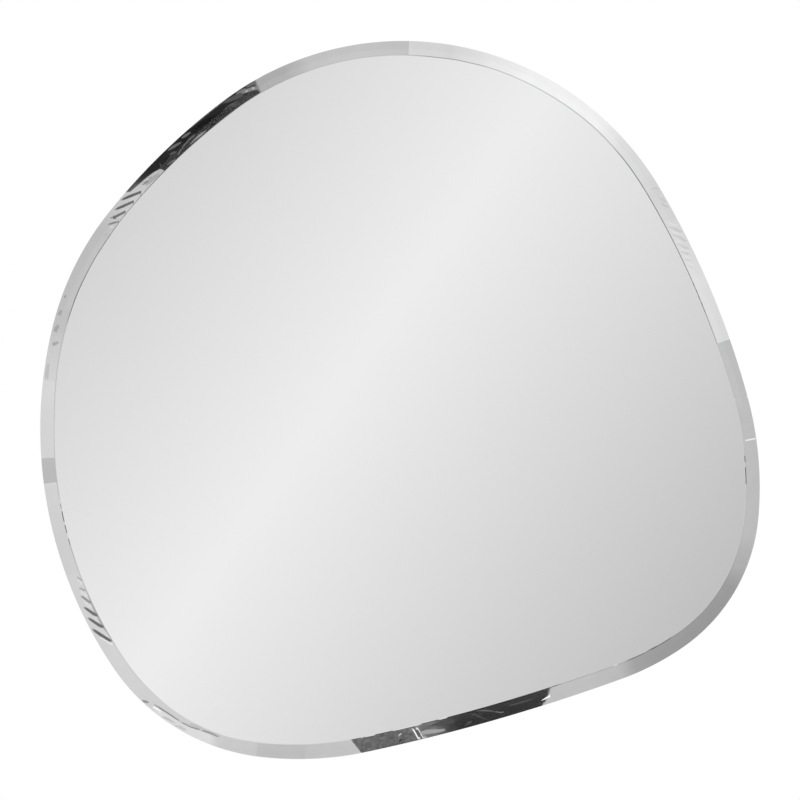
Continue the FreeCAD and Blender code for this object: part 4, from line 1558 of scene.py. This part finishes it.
def place_camera(pane, studio):
    """A long lens, square to the pane."""
    lens = bpy.data.cameras.new("camera")
    lens.sensor_width = SENSOR_WIDTH
    lens.lens = lens.sensor_width * studio.eye_distance / studio.view_width
    lens.clip_end = FARTHEST_SEEN
    camera = shown("camera", lens)
    camera.location = (0, GLASS_REAR - pane.nose_thickness - studio.eye_distance, 0)
    camera.rotation_euler = (math.radians(90), 0, 0)
    bpy.context.scene.camera = camera


def make_studio(pane, studio):
    """Camera, floor, light and reflected cards."""
    place_camera(pane, studio)
    lay_floor(studio)
    light_world()
    for name, place, size, share in LAMPS:
        hang_lamp(name, place, size, share * studio.lamp_power)
    hang_great_card(studio)
    hang_cards(pane, studio)
    bpy.context.scene.view_settings.view_transform = "Standard"


# ---- operators -----------------------------------------------------------------------------------
class MIRROR_OT_pane(bpy.types.Operator):
    """Make the bevelled pane with its silvered rear face"""

    bl_idname = "mirror.pane"
    bl_label = "Pane"

    def execute(self, context):
        make_pane(context.scene.mirror_pane)
        return {"FINISHED"}


class MIRROR_OT_silvering(bpy.types.Operator):
    """Make the sheet of silver and backing paint"""

    bl_idname = "mirror.silvering"
    bl_label = "Silvering"

    def execute(self, context):
        make_silvering(context.scene.mirror_pane)
        return {"FINISHED"}


class MIRROR_OT_film_and_tape(bpy.types.Operator):
    """Finish the safety film and the strips of foam tape"""

    bl_idname = "mirror.film_and_tape"
    bl_label = "Film and tape"

    def execute(self, context):
        settings = context.scene.mirror_back
        dressed("safety_film", safety_film(settings))
        tape = foam_tape(settings)
        for name in TAPES:
            dressed(f"{name}_mounting_tape", tape)
        return {"FINISHED"}


class MIRROR_OT_dabs(bpy.types.Operator):
    """Make the pressed dabs of adhesive"""

    bl_idname = "mirror.dabs"
    bl_label = "Adhesive dabs"

    def execute(self, context):
        make_dabs(context.scene.mirror_back)
        return {"FINISHED"}


class MIRROR_OT_board(bpy.types.Operator):
    """Make the backing board"""

    bl_idname = "mirror.board"
    bl_label = "Backing board"

    def execute(self, context):
        make_board(context.scene.mirror_back)
        return {"FINISHED"}


class MIRROR_OT_bumpers(bpy.types.Operator):
    """Make the four wall bumpers"""

    bl_idname = "mirror.bumpers"
    bl_label = "Wall bumpers"

    def execute(self, context):
        make_bumpers(context.scene.mirror_hardware)
        return {"FINISHED"}


class MIRROR_OT_straps(bpy.types.Operator):
    """Make the two hanger straps"""

    bl_idname = "mirror.straps"
    bl_label = "Hanger straps"

    def execute(self, context):
        make_straps(context.scene.mirror_hardware)
        return {"FINISHED"}


class MIRROR_OT_rings(bpy.types.Operator):
    """Make the two swinging hanger rings"""

    bl_idname = "mirror.rings"
    bl_label = "Hanger rings"

    def execute(self, context):
        make_rings(context.scene.mirror_hardware)
        return {"FINISHED"}


class MIRROR_OT_screws(bpy.types.Operator):
    """Make the four hanger screws"""

    bl_idname = "mirror.screws"
    bl_label = "Hanger screws"

    def execute(self, context):
        make_screws(context.scene.mirror_hardware)
        return {"FINISHED"}


class MIRROR_OT_studio(bpy.types.Operator):
    """Set up the camera, floor, light and reflected cards"""

    bl_idname = "mirror.studio"
    bl_label = "Studio"

    def execute(self, context):
        make_studio(context.scene.mirror_pane, context.scene.mirror_studio)
        return {"FINISHED"}


PIECE_OPERATORS = (
    MIRROR_OT_pane,
    MIRROR_OT_silvering,
    MIRROR_OT_film_and_tape,
    MIRROR_OT_dabs,
    MIRROR_OT_board,
    MIRROR_OT_bumpers,
    MIRROR_OT_straps,
    MIRROR_OT_rings,
    MIRROR_OT_screws,
    MIRROR_OT_studio,
)


class MIRROR_PT_sidebar(bpy.types.Panel):
    """The mirror's pieces and settings"""

    bl_idname = "MIRROR_PT_sidebar"
    bl_label = "Bevelled mirror"
    bl_space_type = "VIEW_3D"
    bl_region_type = "UI"
    bl_category = "Mirror"

    def draw(self, context):
        layout = self.layout
        for operator in PIECE_OPERATORS:
            layout.operator(operator.bl_idname)
        for name in SETTINGS:
            box = layout.box()
            group = getattr(context.scene, name)
            for setting in group.__annotations__:
                box.prop(group, setting)


SETTINGS = {
    "mirror_pane": MirrorPaneSettings,
    "mirror_back": MirrorBackSettings,
    "mirror_hardware": MirrorHardwareSettings,
    "mirror_studio": MirrorStudioSettings,
}
CLASSES = (*SETTINGS.values(), *PIECE_OPERATORS, MIRROR_PT_sidebar)


def register():
    """Register the classes and put the settings on the scene."""
    for kind in CLASSES:
        bpy.utils.register_class(kind)
    for name, kind in SETTINGS.items():
        setattr(bpy.types.Scene, name, PointerProperty(type=kind))


def unregister():
    """Take the settings and the classes away again."""
    for name in SETTINGS:
        delattr(bpy.types.Scene, name)
    for kind in reversed(CLASSES):
        bpy.utils.unregister_class(kind)


def main():
    """Make every piece and the studio."""
    register()
    bpy.ops.mirror.pane()
    bpy.ops.mirror.silvering()
    bpy.ops.mirror.film_and_tape()
    bpy.ops.mirror.dabs()
    bpy.ops.mirror.board()
    bpy.ops.mirror.bumpers()
    bpy.ops.mirror.straps()
    bpy.ops.mirror.rings()
    bpy.ops.mirror.screws()
    bpy.ops.mirror.studio()


if __name__ == "__main__":
    main()
